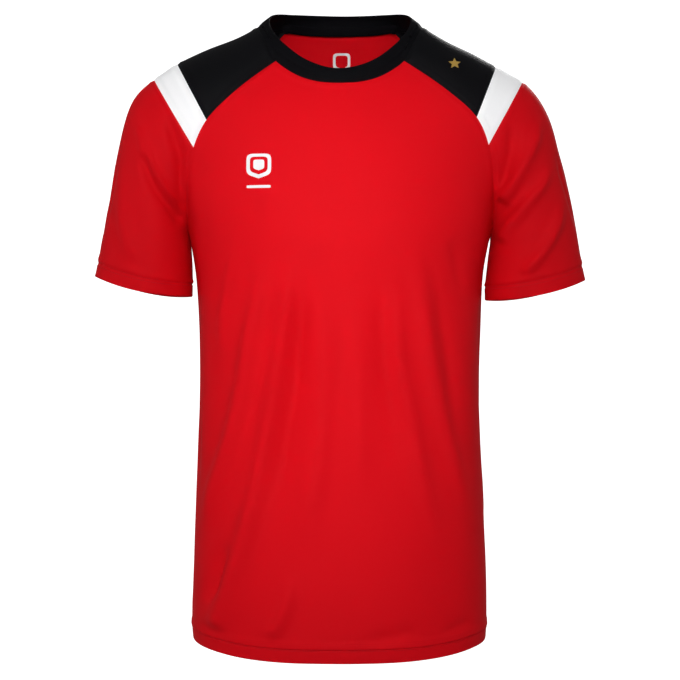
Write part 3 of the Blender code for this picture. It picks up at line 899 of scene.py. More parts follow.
@dataclass
class Cloth:
    """The whole garment's fine outer surface, and how it is creased, sewn and cut."""

    pattern: Pattern = field(default_factory=Pattern)
    fineness: int = 4  # subdivisions of the cage
    fit_rounds: int = 6
    raglan_firmness: float = 1.0  # 0 is smooth across the seam, 1 is a firm line
    knit_wall: float = 0.0012
    hem_wall: float = 0.0022
    collar_wall: float = 0.0022
    seam_groove: float = 0.0008
    seam_half_width: float = 0.0022
    seam_roll: float = 0.0004
    roll_distance: float = 0.0052
    quiet_by_seam: float = 0.0100  # creases die out this near a raglan or collar seam
    crease_reach: float = 3.0  # how far a crease is felt, in its own half-widths
    facing_least: float = 0.10  # a crease starts where the cloth faces its side this much
    facing_ease: float = 0.35  # and is whole this much further round
    hem_groove: float = 0.0009
    hem_groove_width: float = 0.0018
    hem_swell: float = 0.0008
    hem_swell_width: float = 0.0050
    pucker: float = 0.00022
    pucker_reach: float = 0.009
    pucker_turns: tuple[float, float, float] = (620.0, 173.0, 940.0)
    sway: float = 0.0008  # slow unevenness of the whole cloth
    sway_waves: int = 14
    sway_turns: tuple[float, float] = (36.0, 120.0)  # radians to a metre
    sway_upright: float = 0.55  # less than 1 makes the swells taller than they are wide
    seed: int = 11
    points: np.ndarray = field(init=False, repr=False)
    normals: np.ndarray = field(init=False, repr=False)
    quads: np.ndarray = field(init=False, repr=False)
    panels: np.ndarray = field(init=False, repr=False)  # each quad's panel
    layout: np.ndarray = field(init=False, repr=False)  # flat place of each quad's corners
    rise: np.ndarray = field(init=False, repr=False)  # flat height of each point above its hem
    region: np.ndarray = field(init=False, repr=False)
    seams: np.ndarray = field(init=False, repr=False)  # the points on all seams
    hems: list[Hem] = field(init=False, repr=False)

    def smooth_cage(self) -> None:
        """Fits the cage so that its smooth surface runs through the measured points, and reads it."""
        cage = Cage.of_garment(self.pattern)
        mesh = bpy.data.meshes.new("cage")
        mesh.from_pydata(cage.points, [], cage.faces)
        mesh.polygons.foreach_set("material_index", cage.panels)
        layout = np.array(cage.layout, np.float32)
        mesh.uv_layers.new(name="layout").data.foreach_set("uv", layout.ravel())
        for panel in Panel:
            mesh.materials.append(bpy.data.materials.new(f"guide_{panel.node}"))
        self.crease_raglans(mesh)
        guide = link(bpy.data.objects.new("cage", mesh))
        smooth = guide.modifiers.new("smooth", "SUBSURF")
        smooth.uv_smooth = "NONE"
        smooth.levels = smooth.render_levels = 1
        for _ in range(self.fit_rounds):
            reached = self.evaluated(guide)
            for vertex, target in zip(guide.data.vertices, cage.points):
                vertex.co += target - reached.vertices[vertex.index].co
            bpy.data.meshes.remove(reached)
        smooth.levels = smooth.render_levels = self.fineness
        self.read(self.evaluated(guide))
        guides = list(mesh.materials)
        bpy.data.objects.remove(guide)
        bpy.data.meshes.remove(mesh)
        for material in guides:
            bpy.data.materials.remove(material)
        left = self.points[:, 0] > 0
        arm = self.region == Region.ARM.value
        self.hems = [
            Hem(self.region == Region.TORSO.value, self.ring_step(RINGS[0], RINGS[1])),
            Hem(arm & left, self.cuff_step(CUFF_RINGS[-1], CUFF_RINGS[-2], 1)),
            Hem(arm & ~left, self.cuff_step(CUFF_RINGS[-1], CUFF_RINGS[-2], -1)),
        ]

    def crease_raglans(self, mesh: bpy.types.Mesh) -> None:
        """Holds the raglan seams firm, so that the stripes run straight into them.

        Args:
            mesh: The cage's mesh, whose faces hold their panel's number as their material.
        """
        body = {Panel.FRONT.number, Panel.BACK.number}
        neck = {Panel.COLLAR.number}
        beside: dict[tuple[int, int], set[int]] = {}
        for polygon in mesh.polygons:
            for key in polygon.edge_keys:
                beside.setdefault(key, set()).add(polygon.material_index)
        firmness = mesh.attributes.new("crease_edge", "FLOAT", "EDGE")
        for number, edge in enumerate(mesh.edges):
            panels = beside[tuple(sorted(edge.vertices))]
            if panels & body and panels - body - neck:
                firmness.data[number].value = self.raglan_firmness

    @staticmethod
    def evaluated(guide: bpy.types.Object) -> bpy.types.Mesh:
        """The cage's mesh with its modifier.

        Args:
            guide: The cage.

        Returns:
            A new mesh, smoothed.
        """
        bpy.context.view_layer.update()
        graph = bpy.context.evaluated_depsgraph_get()
        return bpy.data.meshes.new_from_object(guide.evaluated_get(graph), depsgraph=graph)

    @staticmethod
    def ring_step(lower: Ring, upper: Ring) -> float:
        """From one body ring to the next, in the middle of the front."""
        return math.hypot(upper.front_y - lower.front_y, upper.front_z - lower.front_z)

    @staticmethod
    def cuff_step(lower: Cuff, upper: Cuff, sign: int) -> float:
        """From one sleeve ring to the next, along the outside of the arm."""
        climb = upper.top_z - lower.top_z + sign * (upper.lean_z - lower.lean_z)
        return math.hypot(upper.top_x - lower.top_x, climb)

    def read(self, mesh: bpy.types.Mesh) -> None:
        """Takes the fine mesh's points, quads, panels and flat layout, and removes it.

        Args:
            mesh: The smoothed cage.
        """
        points = np.empty(len(mesh.vertices) * 3)
        mesh.vertices.foreach_get("co", points)
        corners = np.empty(len(mesh.loops), np.int32)
        mesh.loops.foreach_get("vertex_index", corners)
        panels = np.empty(len(mesh.polygons), np.int32)
        mesh.polygons.foreach_get("material_index", panels)
        layout = np.empty(len(mesh.loops) * 2)
        mesh.uv_layers["layout"].data.foreach_get("uv", layout)
        bpy.data.meshes.remove(mesh)
        self.points = points.reshape(-1, 3)
        self.quads = corners.reshape(-1, 4)
        self.panels = panels
        self.layout = layout.reshape(-1, 4, 2)
        self.normals = vertex_normals(self.points, self.quads)
        self.rise = np.zeros(len(self.points))
        self.rise[self.quads.ravel()] = self.layout[:, :, 1].ravel()
        self.region = np.zeros(len(self.points), np.int32)
        regions = np.array([panel.region.value for panel in Panel])
        for value in (Region.NECK.value, Region.ARM.value, Region.TORSO.value):
            self.region[self.quads[regions[self.panels] == value].ravel()] = value

    def seam_vertices(self) -> tuple[np.ndarray, np.ndarray]:
        """The points on all seams, and those on the raglan and collar seams alone.

        Returns:
            The numbers of the points on all seams, and of those on the second kind alone.
        """
        ends = np.concatenate([self.quads[:, [place, (place + 1) % 4]] for place in range(4)])
        panels = np.tile(self.panels, 4)
        ends.sort(axis=1)
        order = np.lexsort((ends[:, 1], ends[:, 0]))
        ends, panels = ends[order], panels[order]
        same = (ends[1:] == ends[:-1]).all(axis=1)
        differ = same & (panels[1:] != panels[:-1])
        regions = np.array([panel.region.value for panel in Panel])
        between = differ & (regions[panels[1:]] != regions[panels[:-1]])
        return np.unique(ends[1:][differ]), np.unique(ends[1:][between])

    def distance_to(self, numbers: np.ndarray) -> np.ndarray:
        """How far each point is from the nearest of some points.

        Args:
            numbers: The points to measure to.

        Returns:
            A distance for each point of the cloth.
        """
        tree = KDTree(len(numbers))
        for number in numbers.tolist():
            tree.insert(self.points[number], number)
        tree.balance()
        return np.array([tree.find(place)[2] for place in self.points.tolist()])

    @staticmethod
    def curve_through(path: np.ndarray, steps: int = 8) -> np.ndarray:
        """A smooth line through some points, each stretch cut into equal steps.

        Args:
            path: The points.
            steps: How many steps each stretch gets.

        Returns:
            The points of the line.
        """
        ends = np.vstack([2 * path[0] - path[1], path, 2 * path[-1] - path[-2]])
        line = [path[:1]]
        for place in range(len(path) - 1):
            a, b, c, d = ends[place : place + 4]
            t = (np.arange(1, steps + 1) / steps)[:, None]
            bend = 2 * a - 5 * b + 4 * c - d + t * (3 * (b - c) + d - a)
            line.append(b + 0.5 * t * ((c - a) + t * bend))
        return np.vstack(line)

    def crease_shift(self, region: Region, side: Side, crease: Crease) -> np.ndarray:
        """How far one crease sinks each point of the cloth.

        Args:
            region: The part of the garment that it is on.
            side: The side that it is drawn from.
            crease: The crease.

        Returns:
            A depth for each point.
        """
        line = self.curve_through(np.array(crease.path) * MM)
        flat = self.points[:, [side.across, 2]]
        reach = self.crease_reach * max(crease.first_width, crease.last_width) * MM
        facing = smoothstep((self.normals @ side.facing - self.facing_least) / self.facing_ease)
        near = (flat > line.min(axis=0) - reach).all(axis=1)
        near &= (flat < line.max(axis=0) + reach).all(axis=1)
        near &= (facing > 0) & (self.region == region.value)
        shift = np.zeros(len(self.points))
        places = flat[near]
        steps = np.diff(line, axis=0)
        lengths = np.linalg.norm(steps, axis=1)
        before = np.concatenate([[0.0], np.cumsum(lengths)])
        best = np.full(len(places), np.inf)
        share = np.zeros(len(places))
        for start, step, length, gone in zip(line, steps, lengths, before):
            along = np.clip((places - start) @ step / length**2, 0.0, 1.0)
            away = np.linalg.norm(places - start - along[:, None] * step, axis=1)
            closer = away < best
            best[closer] = away[closer]
            share[closer] = (gone + along * length)[closer] / before[-1]
        width = (crease.first_width + (crease.last_width - crease.first_width) * share) * MM
        strength = smoothstep(share / crease.fade_in) * smoothstep((1 - share) / crease.fade_out)
        shift[near] = crease.depth * MM * strength * bell(best / width)
        return shift * facing

    def slow_sway(self) -> np.ndarray:
        """An uneven, slow swell of the cloth, so that no stretch of it is quite flat.

        Returns:
            A depth for each point.
        """
        random = np.random.default_rng(self.seed)
        directions = unit(random.normal(size=(self.sway_waves, 3)) * (1.0, 1.0, self.sway_upright))
        turns = random.uniform(*self.sway_turns, self.sway_waves)
        phases = random.uniform(0.0, 2 * math.pi, self.sway_waves)
        waves = np.sin(self.points @ (directions * turns[:, None]).T + phases)
        return waves.mean(axis=1) * self.sway * math.sqrt(self.sway_waves) / 2

    def hem_shift(self) -> np.ndarray:
        """The stitched groove of the hem and the cuffs, the swell above it, and its puckers.

        Returns:
            A depth for each point.
        """
        shift = np.zeros(len(self.points))
        x, y, z = self.points.T
        around = np.arctan2(x, y) * 0.15 + z * 0.5  # about a metre for each metre round the body
        fast, slow, fine = self.pucker_turns
        ripple = np.sin(around * fast) * np.sin(around * slow + 1.3) + 0.5 * np.sin(around * fine + 0.4)
        for hem in self.hems:
            here = hem.cloth
            above = self.rise[here] - hem.stitched
            groove = self.hem_groove * bell(above / self.hem_groove_width)
            swell = -self.hem_swell * bell((above - self.hem_swell_width) / self.hem_swell_width)
            puckers = self.pucker * ripple[here] * bell(above / self.pucker_reach)
            shift[here] = groove + swell + puckers
        return shift

    def crease_all(self) -> None:
        """Creases the cloth, grooves its seams and hems, and works out its directions again."""
        self.seams, quiet = self.seam_vertices()
        from_seam = self.distance_to(self.seams)
        from_quiet = self.distance_to(quiet)
        creased = self.slow_sway()
        for (region, side), creases in CREASES.items():
            for crease in creases:
                creased = creased + self.crease_shift(region, side, crease)
        shift = creased * smoothstep(from_quiet / self.quiet_by_seam) + self.hem_shift()
        groove = self.seam_groove * bell(from_seam / self.seam_half_width)
        roll = self.seam_roll * bell((from_seam - self.roll_distance) / self.seam_half_width)
        shift += groove - roll
        self.points = self.points - self.normals * shift[:, None]
        self.normals = vertex_normals(self.points, self.quads)

    def wall_thickness(self, panel: Panel) -> np.ndarray:
        """The wall at each point, thicker below the stitching of a hem.

        Args:
            panel: The piece of cloth.

        Returns:
            A thickness for each point.
        """
        if panel is Panel.COLLAR:
            return np.full(len(self.points), self.collar_wall)
        wall = np.full(len(self.points), self.knit_wall)
        for hem in self.hems:
            doubled = smoothstep((hem.stitched - self.rise[hem.cloth]) / self.hem_groove_width)
            wall[hem.cloth] += (self.hem_wall - self.knit_wall) * doubled
        return wall

    def cut(self, panel: Panel) -> Wall:
        """One piece of cloth, with its own points.

        Args:
            panel: The piece of cloth.

        Returns:
            Its wall, not yet built.
        """
        chosen = self.panels == panel.number
        numbers, own = np.unique(self.quads[chosen], return_inverse=True)
        turned = ~np.isin(numbers, self.seams)
        return Wall(
            points=self.points[numbers],
            normals=self.normals[numbers],
            quads=own.reshape(-1, 4),
            layout=self.layout[chosen],
            thickness=self.wall_thickness(panel)[numbers],
            turned=turned.astype(float),
        )

    def line_at(self, hem: Hem, rise: float) -> tuple[np.ndarray, np.ndarray]:
        """The closed line round the body or one arm at a height above its hem's edge.

        Args:
            hem: The hem of the body or of one arm.
            rise: The height, which one of the surface's own rows has.

        Returns:
            The line's points in order, and the outward directions there.
        """
        numbers = np.flatnonzero(hem.cloth & (np.abs(self.rise - rise) < 0.05 * MM))
        middle = self.points[numbers].mean(axis=0)
        away = self.points[numbers] - middle
        order = np.argsort(np.arctan2(away[:, 1], away[:, 0]))
        return self.points[numbers[order]], self.normals[numbers[order]]


# ---------------------------------------------------------------- finishes
@dataclass
class Nodes:
    """A material's node tree, with short ways to add to it."""

    material: bpy.types.Material

    def __post_init__(self) -> None:
        """Starts from the plain Principled material."""
        self.material.use_nodes = True
        self.tree = self.material.node_tree
        self.shader = self.tree.nodes["Principled BSDF"]

    def add(self, kind: str, inputs: dict | None = None, **settings: object) -> bpy.types.Node:
        """A new node with these settings, and with these inputs set or linked.

        Args:
            kind: The node's type.
            inputs: Values or sockets, by the name or number of the input.
            **settings: The node's own settings.

        Returns:
            The node.
        """
        node = self.tree.nodes.new(kind)
        for name, value in settings.items():
            setattr(node, name, value)
        for name, value in (inputs or {}).items():
            if isinstance(value, bpy.types.NodeSocket):
                self.tree.links.new(value, node.inputs[name])
            else:
                node.inputs[name].default_value = value
        return node

    def math(self, operation: str, first: object, second: object = 0.0) -> bpy.types.NodeSocket:
        """The result of a Math node."""
        return self.add("ShaderNodeMath", {0: first, 1: second}, operation=operation).outputs[0]

    def mix(self, share: object, first: object, second: object) -> bpy.types.NodeSocket:
        """A colour between two colours.

        Args:
            share: From 0 for the first to 1 for the second.
            first: A colour or a socket.
            second: A colour or a socket.

        Returns:
            The mixed colour.
        """
        node = self.add("ShaderNodeMix", data_type="RGBA")
        for place, value in ((0, share), (6, first), (7, second)):
            if isinstance(value, bpy.types.NodeSocket):
                self.tree.links.new(value, node.inputs[place])
            else:
                node.inputs[place].default_value = value
        return node.outputs[2]

    def roughen(self, value: bpy.types.NodeSocket, middle: float, spread: float) -> None:
        """Lets the roughness follow a value from 0 to 1, this far to each side of its middle."""
        ends = {"Value": value, "To Min": middle - spread, "To Max": middle + spread}
        self.drive("Roughness", self.add("ShaderNodeMapRange", ends).outputs[0])

    def emboss(self, height: bpy.types.NodeSocket, strength: float, relief: float) -> None:
        """Lets the fine relief follow a height."""
        inputs = {"Strength": strength, "Distance": relief, "Height": height}
        self.drive("Normal", self.add("ShaderNodeBump", inputs).outputs[0])

    def drive(self, name: str, value: bpy.types.NodeSocket) -> None:
        """Links a changing value to one of the shader's sockets."""
        self.tree.links.new(value, self.shader.inputs[name])

    def fix(self, values: dict[str, object]) -> None:
        """Sets the shader's sockets that are the same all over."""
        for name, value in values.items():
            self.shader.inputs[name].default_value = value


class Colour(NamedTuple):
    """A linear colour."""

    red: float
    green: float
    blue: float

    def rgba(self, shade: float = 1.0) -> tuple[float, float, float, float]:
        """The colour, made lighter or darker, for a node's socket."""
        return self.red * shade, self.green * shade, self.blue * shade, 1.0


@dataclass(frozen=True)
class KnitFinish:
    """A knitted cloth: columns of small V-shaped loops, in a slightly uneven colour, with painted shade
    between the loops and painted light on their tops.
    """

    name: str
    colour: Colour
    wale: float = 0.00095  # distance between columns of loops
    course: float = 0.00080  # distance between rows of loops
    relief: float = 0.00016
    strength: float = 0.35
    painted_hollow_shade: float = 0.80  # shade of the cloth between its loops
    # painted shade: how dark the colour is between the loops, where the relief is low
    roughness: float = 0.62
    roughness_spread: float = 0.08
    specular: float = 0.045
    painted_glow: float = 0.0  # painted light: emission that makes a white cloth look brighter than its lamps light it
    sheen: float = 0.0
    sheen_roughness: float = 0.45
    patch: float = 9.0  # how many slow patches of shade to a metre
    patch_shade: float = 0.985
    slant: float = 0.35  # how far each loop's V dips, in courses
    base_height: float = 0.35
    loop_height: float = 0.40  # the part of the height that the columns give
    course_height: float = 0.25  # the part that the rows give
    fuzz_height: float = 0.35
    fuzz: float = 900.0  # how many hairs of yarn to a metre
    painted_crest_light: float = 1.04  # painted light: how light the colour is on the top of each loop, where the relief is high

    def build(self) -> bpy.types.Material:
        """The material, whose loops follow the piece's flat layout.

        Returns:
            The new material.
        """
        nodes = Nodes(bpy.data.materials.new(self.name))
        layout = nodes.add("ShaderNodeUVMap", uv_map="layout").outputs[0]
        split = nodes.add("ShaderNodeSeparateXYZ", {0: layout})
        column = nodes.math("MULTIPLY", split.outputs[0], math.pi / self.wale)
        loop = nodes.math("ABSOLUTE", nodes.math("SINE", column))
        dip = nodes.math("MULTIPLY", loop, self.slant)
        row = nodes.math("ADD", nodes.math("MULTIPLY", split.outputs[1], 1 / self.course), dip)
        course = nodes.math("SINE", nodes.math("MULTIPLY", row, 2 * math.pi))
        lift = nodes.math("ADD", nodes.math("MULTIPLY", course, self.course_height), self.base_height)
        height = nodes.math("ADD", nodes.math("MULTIPLY", loop, self.loop_height), lift)
        place = nodes.add("ShaderNodeTexCoord").outputs["Object"]
        patch = nodes.add("ShaderNodeTexNoise", {"Vector": place, "Scale": self.patch, "Detail": 3.0})
        yarn = nodes.add("ShaderNodeTexNoise", {"Vector": place, "Scale": self.fuzz, "Detail": 2.0})
        # painted shade and light: the colour follows the loops' height, darker in the hollows and lighter
        # on the crests
        loops_with_painted_shade = nodes.mix(height, self.colour.rgba(self.painted_hollow_shade), self.colour.rgba(self.painted_crest_light))
        shaded = nodes.mix(patch.outputs["Fac"], loops_with_painted_shade, self.colour.rgba(self.patch_shade))
        nodes.drive("Base Color", shaded)
        nodes.roughen(yarn.outputs["Fac"], self.roughness, self.roughness_spread)
        fuzz = nodes.math("MULTIPLY", yarn.outputs["Fac"], self.fuzz_height)
        nodes.emboss(nodes.math("ADD", height, fuzz), self.strength, self.relief)
        # painted light: an emission in the cloth's own colour, which only the white finish turns on, makes
        # it brighter than its lamps light it
        nodes.fix(
            {
                "Specular IOR Level": self.specular,
                "Emission Color": self.colour.rgba(),
                "Emission Strength": self.painted_glow,
                "Sheen Weight": self.sheen,
                "Sheen Roughness": self.sheen_roughness,
            }
        )
        return nodes.material


@dataclass(frozen=True)
class PrintFinish:
    """A smooth heat-pressed transfer, with the cloth's grain faintly showing through."""

    name: str
    colour: Colour
    roughness: float = 0.42
    roughness_spread: float = 0.06
    metallic: float = 0.0
    grain: float = 1100.0
    relief: float = 0.00004

    def build(self) -> bpy.types.Material:
        """The material, in object coordinates.

        Returns:
            The new material.
        """
        nodes = Nodes(bpy.data.materials.new(self.name))
        place = nodes.add("ShaderNodeTexCoord").outputs["Object"]
        noise = nodes.add("ShaderNodeTexNoise", {"Vector": place, "Scale": self.grain, "Detail": 2.0})
        grain = noise.outputs["Fac"]
        nodes.drive("Base Color", nodes.mix(grain, self.colour.rgba(0.95), self.colour.rgba()))
        nodes.roughen(grain, self.roughness, self.roughness_spread)
        nodes.emboss(grain, 0.4, self.relief)
        nodes.fix({"Metallic": self.metallic, "Specular IOR Level": 0.2})
        return nodes.material


@dataclass(frozen=True)
class ThreadFinish:
    """Twisted sewing thread."""

    name: str
    colour: Colour
    twist: float = 2600.0
    relief: float = 0.00005
    roughness: float = 0.5

    def build(self) -> bpy.types.Material:
        """The material, in object coordinates.

        Returns:
            The new material.
        """
        nodes = Nodes(bpy.data.materials.new(self.name))
        place = nodes.add("ShaderNodeTexCoord").outputs["Object"]
        noise = nodes.add("ShaderNodeTexNoise", {"Vector": place, "Scale": self.twist, "Detail": 1.0})
        ply = noise.outputs["Fac"]
        nodes.drive("Base Color", nodes.mix(ply, self.colour.rgba(0.75), self.colour.rgba(1.1)))
        nodes.emboss(ply, 0.5, self.relief)
        nodes.fix({"Roughness": self.roughness, "Specular IOR Level": 0.1})
        return nodes.material


RED = Colour(0.700, 0.0030, 0.0085)
BLACK = Colour(0.0030, 0.0029, 0.0040)
WHITE = Colour(0.930, 0.930, 0.940)
GOLD = Colour(0.520, 0.330, 0.070)

FINISHES = {
    # each knit's colour is darker between its loops and lighter on their tops, as painted shade and light
    "red_knit": KnitFinish("red_knit", RED),
    "black_knit": KnitFinish("black_knit", BLACK, painted_hollow_shade=0.7, specular=0.07),
    # painted light: the white knit glows a little
    "white_knit": KnitFinish("white_knit", WHITE, painted_hollow_shade=0.93, patch_shade=0.99, painted_glow=0.13),
    "black_rib": KnitFinish("black_rib", BLACK, 0.0016, 0.0009, relief=0.0003, painted_hollow_shade=0.55, roughness=0.7),
    "black_tape": KnitFinish("black_tape", BLACK, 0.0007, 0.0007, slant=1.0, painted_hollow_shade=0.6, roughness=0.68),
    "white_print": PrintFinish("white_print", Colour(0.90, 0.90, 0.91)),
    "gold_print": PrintFinish("gold_print", GOLD, roughness=0.38, metallic=0.3),
    "red_thread": ThreadFinish("red_thread", Colour(0.560, 0.0040, 0.0110)),
}


@dataclass
class Wardrobe:
    """The built finishes, and how a piece is dressed and carried."""

    materials: dict[str, bpy.types.Material] = field(default_factory=dict)

    def __post_init__(self) -> None:
        """Builds every finish once."""
        self.materials = {name: finish.build() for name, finish in FINISHES.items()}

    def dress(self, obj: bpy.types.Object, finish: str, slot: str) -> bpy.types.Object:
        """Gives a piece its finish and its place on the frame.

        Args:
            obj: The piece.
            finish: The finish's name.
            slot: Not used.

        Returns:
            The same piece.
        """
        obj.data.materials.clear()
        obj.data.materials.append(self.materials[finish])
        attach(obj, BODY)
        LOG.info("%s: %d faces, %s", obj.name, len(obj.data.polygons), finish)
        return obj


# ---------------------------------------------------------------- pieces
def surface_area(points: np.ndarray, quads: np.ndarray) -> float:
    """The area of some quads."""
    a, b, c, d = (points[quads[:, corner]] for corner in range(4))
    return float(np.linalg.norm(np.cross(c - a, d - b), axis=1).sum() / 2)


@dataclass
class CutPanels:
    """The nine pieces of knitted cloth."""

    cloth: Cloth
    wardrobe: Wardrobe
    pieces: dict[Panel, bpy.types.Object] = field(default_factory=dict)
    walls: dict[Panel, Wall] = field(default_factory=dict)

    def build(self) -> None:
        """Cuts each panel from the cloth, and lets it stand for its CAD node."""
        for panel in Panel:
            wall = self.cloth.cut(panel)
            piece = wall.build(f"{panel.node}_cloth")
            self.wardrobe.dress(piece, panel.slot, panel.slot)
            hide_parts(panel.node)
            self.pieces[panel] = piece
            self.walls[panel] = wall

    def declare(self) -> None:
        """States the flat size and the area of each panel.
        """
        for panel, piece in self.pieces.items():
            wall = self.walls[panel]
            flat = np.ptp(wall.layout.reshape(-1, 2), axis=0)
            area = min(surface_area(wall.points, wall.quads), float(flat.prod()))
            LOG.info("%s cut: %.3f x %.3f m, %.4f m2", piece.name, *flat, area)


@dataclass
class NeckTape:
    """A narrow tape over the inside of the collar's seam, from one back raglan seam to the other."""

    cloth: Cloth
    wardrobe: Wardrobe
    half_width: float = 0.0050
    clearance: float = 0.0004
    wall: float = 0.0010
    rows: int = 7
    crown: float = 0.0003
    overlap: float = 0.0070  # its ends are sewn down past the raglan seams
    behind_y: float = 0.03  # the collar's seam counts as behind past here

    def points_of(self, *panels: Panel) -> set[int]:
        """The points of some panels."""
        chosen = np.isin(self.cloth.panels, [panel.number for panel in panels])
        return set(self.cloth.quads[chosen].ravel().tolist())

    def seam_line(self) -> list[int]:
        """The points of the collar's seam across the back, and a little way past each raglan seam.

        Returns:
            The points' numbers, from -X to +X.
        """
        x, y = self.cloth.points[:, 0], self.cloth.points[:, 1]
        collar = self.points_of(Panel.COLLAR)
        reach = max(x[number] for number in collar & self.points_of(Panel.BACK)) + self.overlap
        seam = collar & self.points_of(Panel.BACK, Panel.YOKE_LEFT, Panel.YOKE_RIGHT)
        line = [number for number in seam if y[number] > self.behind_y and abs(x[number]) < reach]
        return sorted(line, key=lambda number: x[number])

    def build(self) -> bpy.types.Object:
        """The tape as a closed strip with round edges.

        Returns:
            The new piece.
        """
        line = self.seam_line()
        middle, normals = self.cloth.points[line], self.cloth.normals[line]
        along = unit(np.gradient(middle, axis=0))
        up = unit(np.cross(normals, along))
        up = up * np.sign(up[:, 2:3])
        inward = self.cloth.collar_wall + self.clearance
        rows, layout_rows = [], []
        reach = np.concatenate([[0.0], np.cumsum(np.linalg.norm(np.diff(middle, axis=0), axis=1))])
        for row in range(self.rows):
            share = 2 * row / (self.rows - 1) - 1
            bow = self.crown * (1 - share * share)
            rows.append(middle + up * (self.half_width * share) - normals * (inward + bow))
            layout_rows.append(np.stack([reach, np.full(len(line), self.half_width * share)], axis=1))
        points = np.concatenate(rows)
        layout = np.concatenate(layout_rows)
        count = len(line)
        starts = [row * count + place for row in range(self.rows - 1) for place in range(count - 1)]
        quads = np.array([(start, start + count, start + count + 1, start + 1) for start in starts])
        facing = vertex_normals(points, quads)
        if (facing * np.tile(normals, (self.rows, 1))).sum() < 0:
            quads = quads[:, ::-1]
            facing = -facing
        walls, turned = np.full(len(points), self.wall), np.ones(len(points))
        wall = Wall(points, facing, quads, layout[quads], walls, turned)
        piece = self.wardrobe.dress(wall.build("neck_tape_cloth"), "black_tape", "black_tape")
        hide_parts("neck_tape")
        return piece


@dataclass
class StitchRow:
    """Rows of short machine stitches along a line on the cloth."""

    wardrobe: Wardrobe
    pitch: float = 0.0030
    length: float = 0.0024
    radius: float = 0.00024
    sides: int = 6
    lift: float = 0.00012
    least_girth: float = 0.06  # a stitch's end, as a share of its middle's girth squared
    stations: tuple[float, ...] = (-1.0, -0.86, -0.45, 0.45, 0.86, 1.0)

    def spread(self, line: np.ndarray, normals: np.ndarray) -> tuple[np.ndarray, ...]:
        """Places stitches evenly along a closed line.

        Args:
            line: The line's points in order.
            normals: The outward directions at those points.

        Returns:
            Each stitch's middle, its direction and its outward direction.
        """
        line, normals = np.vstack([line, line[:1]]), np.vstack([normals, normals[:1]])
        gone = np.concatenate([[0.0], np.cumsum(np.linalg.norm(np.diff(line, axis=0), axis=1))])
        count = int(gone[-1] // self.pitch)
        at = (np.arange(count) + 0.5) * gone[-1] / count

        def read(values: np.ndarray, where: np.ndarray) -> np.ndarray:
            """The values at some distances along the line."""
            return np.stack([np.interp(where, gone, values[:, axis]) for axis in range(3)], axis=1)

        ahead, behind = read(line, at + self.length / 2), read(line, at - self.length / 2)
        return read(line, at), unit(ahead - behind), unit(read(normals, at))

    def mesh(
        self, middles: np.ndarray, along: np.ndarray, outward: np.ndarray
    ) -> tuple[np.ndarray, list[tuple[int, ...]]]:
        """The stitches' points and faces: each a short rounded bar whose ends dip into the cloth.

        Args:
            middles: Each stitch's middle.
            along: Its direction.
            outward: The way out of the cloth there.

        Returns:
            The points, and the point numbers of each face.
        """
        beside = unit(np.cross(along, outward))
        angles = 2 * math.pi * np.arange(self.sides) / self.sides
        points = []
        for station in self.stations:
            girth = self.radius * math.sqrt(max(self.least_girth, 1 - station**6))
            rise = self.lift + self.radius * (0.6 - 1.2 * station**4)
            centre = middles + along * (station * self.length / 2) + outward * rise
            for angle in angles:
                around = beside * (girth * math.cos(angle))
                points.append(centre + around + outward * (girth * math.sin(angle)))
        count = len(self.stations) * self.sides
        stacked = np.stack(points, axis=1).reshape(-1, 3)
        template = []
        for station in range(len(self.stations) - 1):
            for side in range(self.sides):
                here, there = station * self.sides + side, station * self.sides + (side + 1) % self.sides
                template.append((here, here + self.sides, there + self.sides, there))
        template.append(tuple(range(self.sides)))
        template.append(tuple(range(count - 1, count - self.sides - 1, -1)))
        starts = range(0, len(stacked), count)
        faces = [tuple(start + corner for corner in face) for start in starts for face in template]
        return stacked, faces

    def sew(
        self, name: str, lines: list[tuple[np.ndarray, np.ndarray]], finish: str, slot: str
    ) -> bpy.types.Object:
        """One piece made of all the stitches along some closed lines.

        Args:
            name: The new piece's name.
            lines: Points and outward directions of each line.
            finish: The thread's finish.
            slot: The record's slot.

        Returns:
            The new piece.
        """
        points, faces = [], []
        start = 0
        for line, normals in lines:
            more, shapes = self.mesh(*self.spread(line, normals))
            points.append(more)
            faces.extend(tuple(start + corner for corner in face) for face in shapes)
            start += len(more)
        piece = mesh_object(name, np.concatenate(points), faces)
        return self.wardrobe.dress(piece, finish, slot)


@dataclass
class Hems:
    """The twin rows of stitches round the hem and the cuffs."""

    cloth: Cloth
    stitches: StitchRow
    second_row: float = 13 / 16  # of the height of the first

    def sew(self, name: str, hem: Hem) -> bpy.types.Object:
        """Both rows round one hem."""
        lines = [self.cloth.line_at(hem, hem.stitched * share) for share in (1.0, self.second_row)]
        return self.stitches.sew(name, lines, "red_thread", "red_knit")


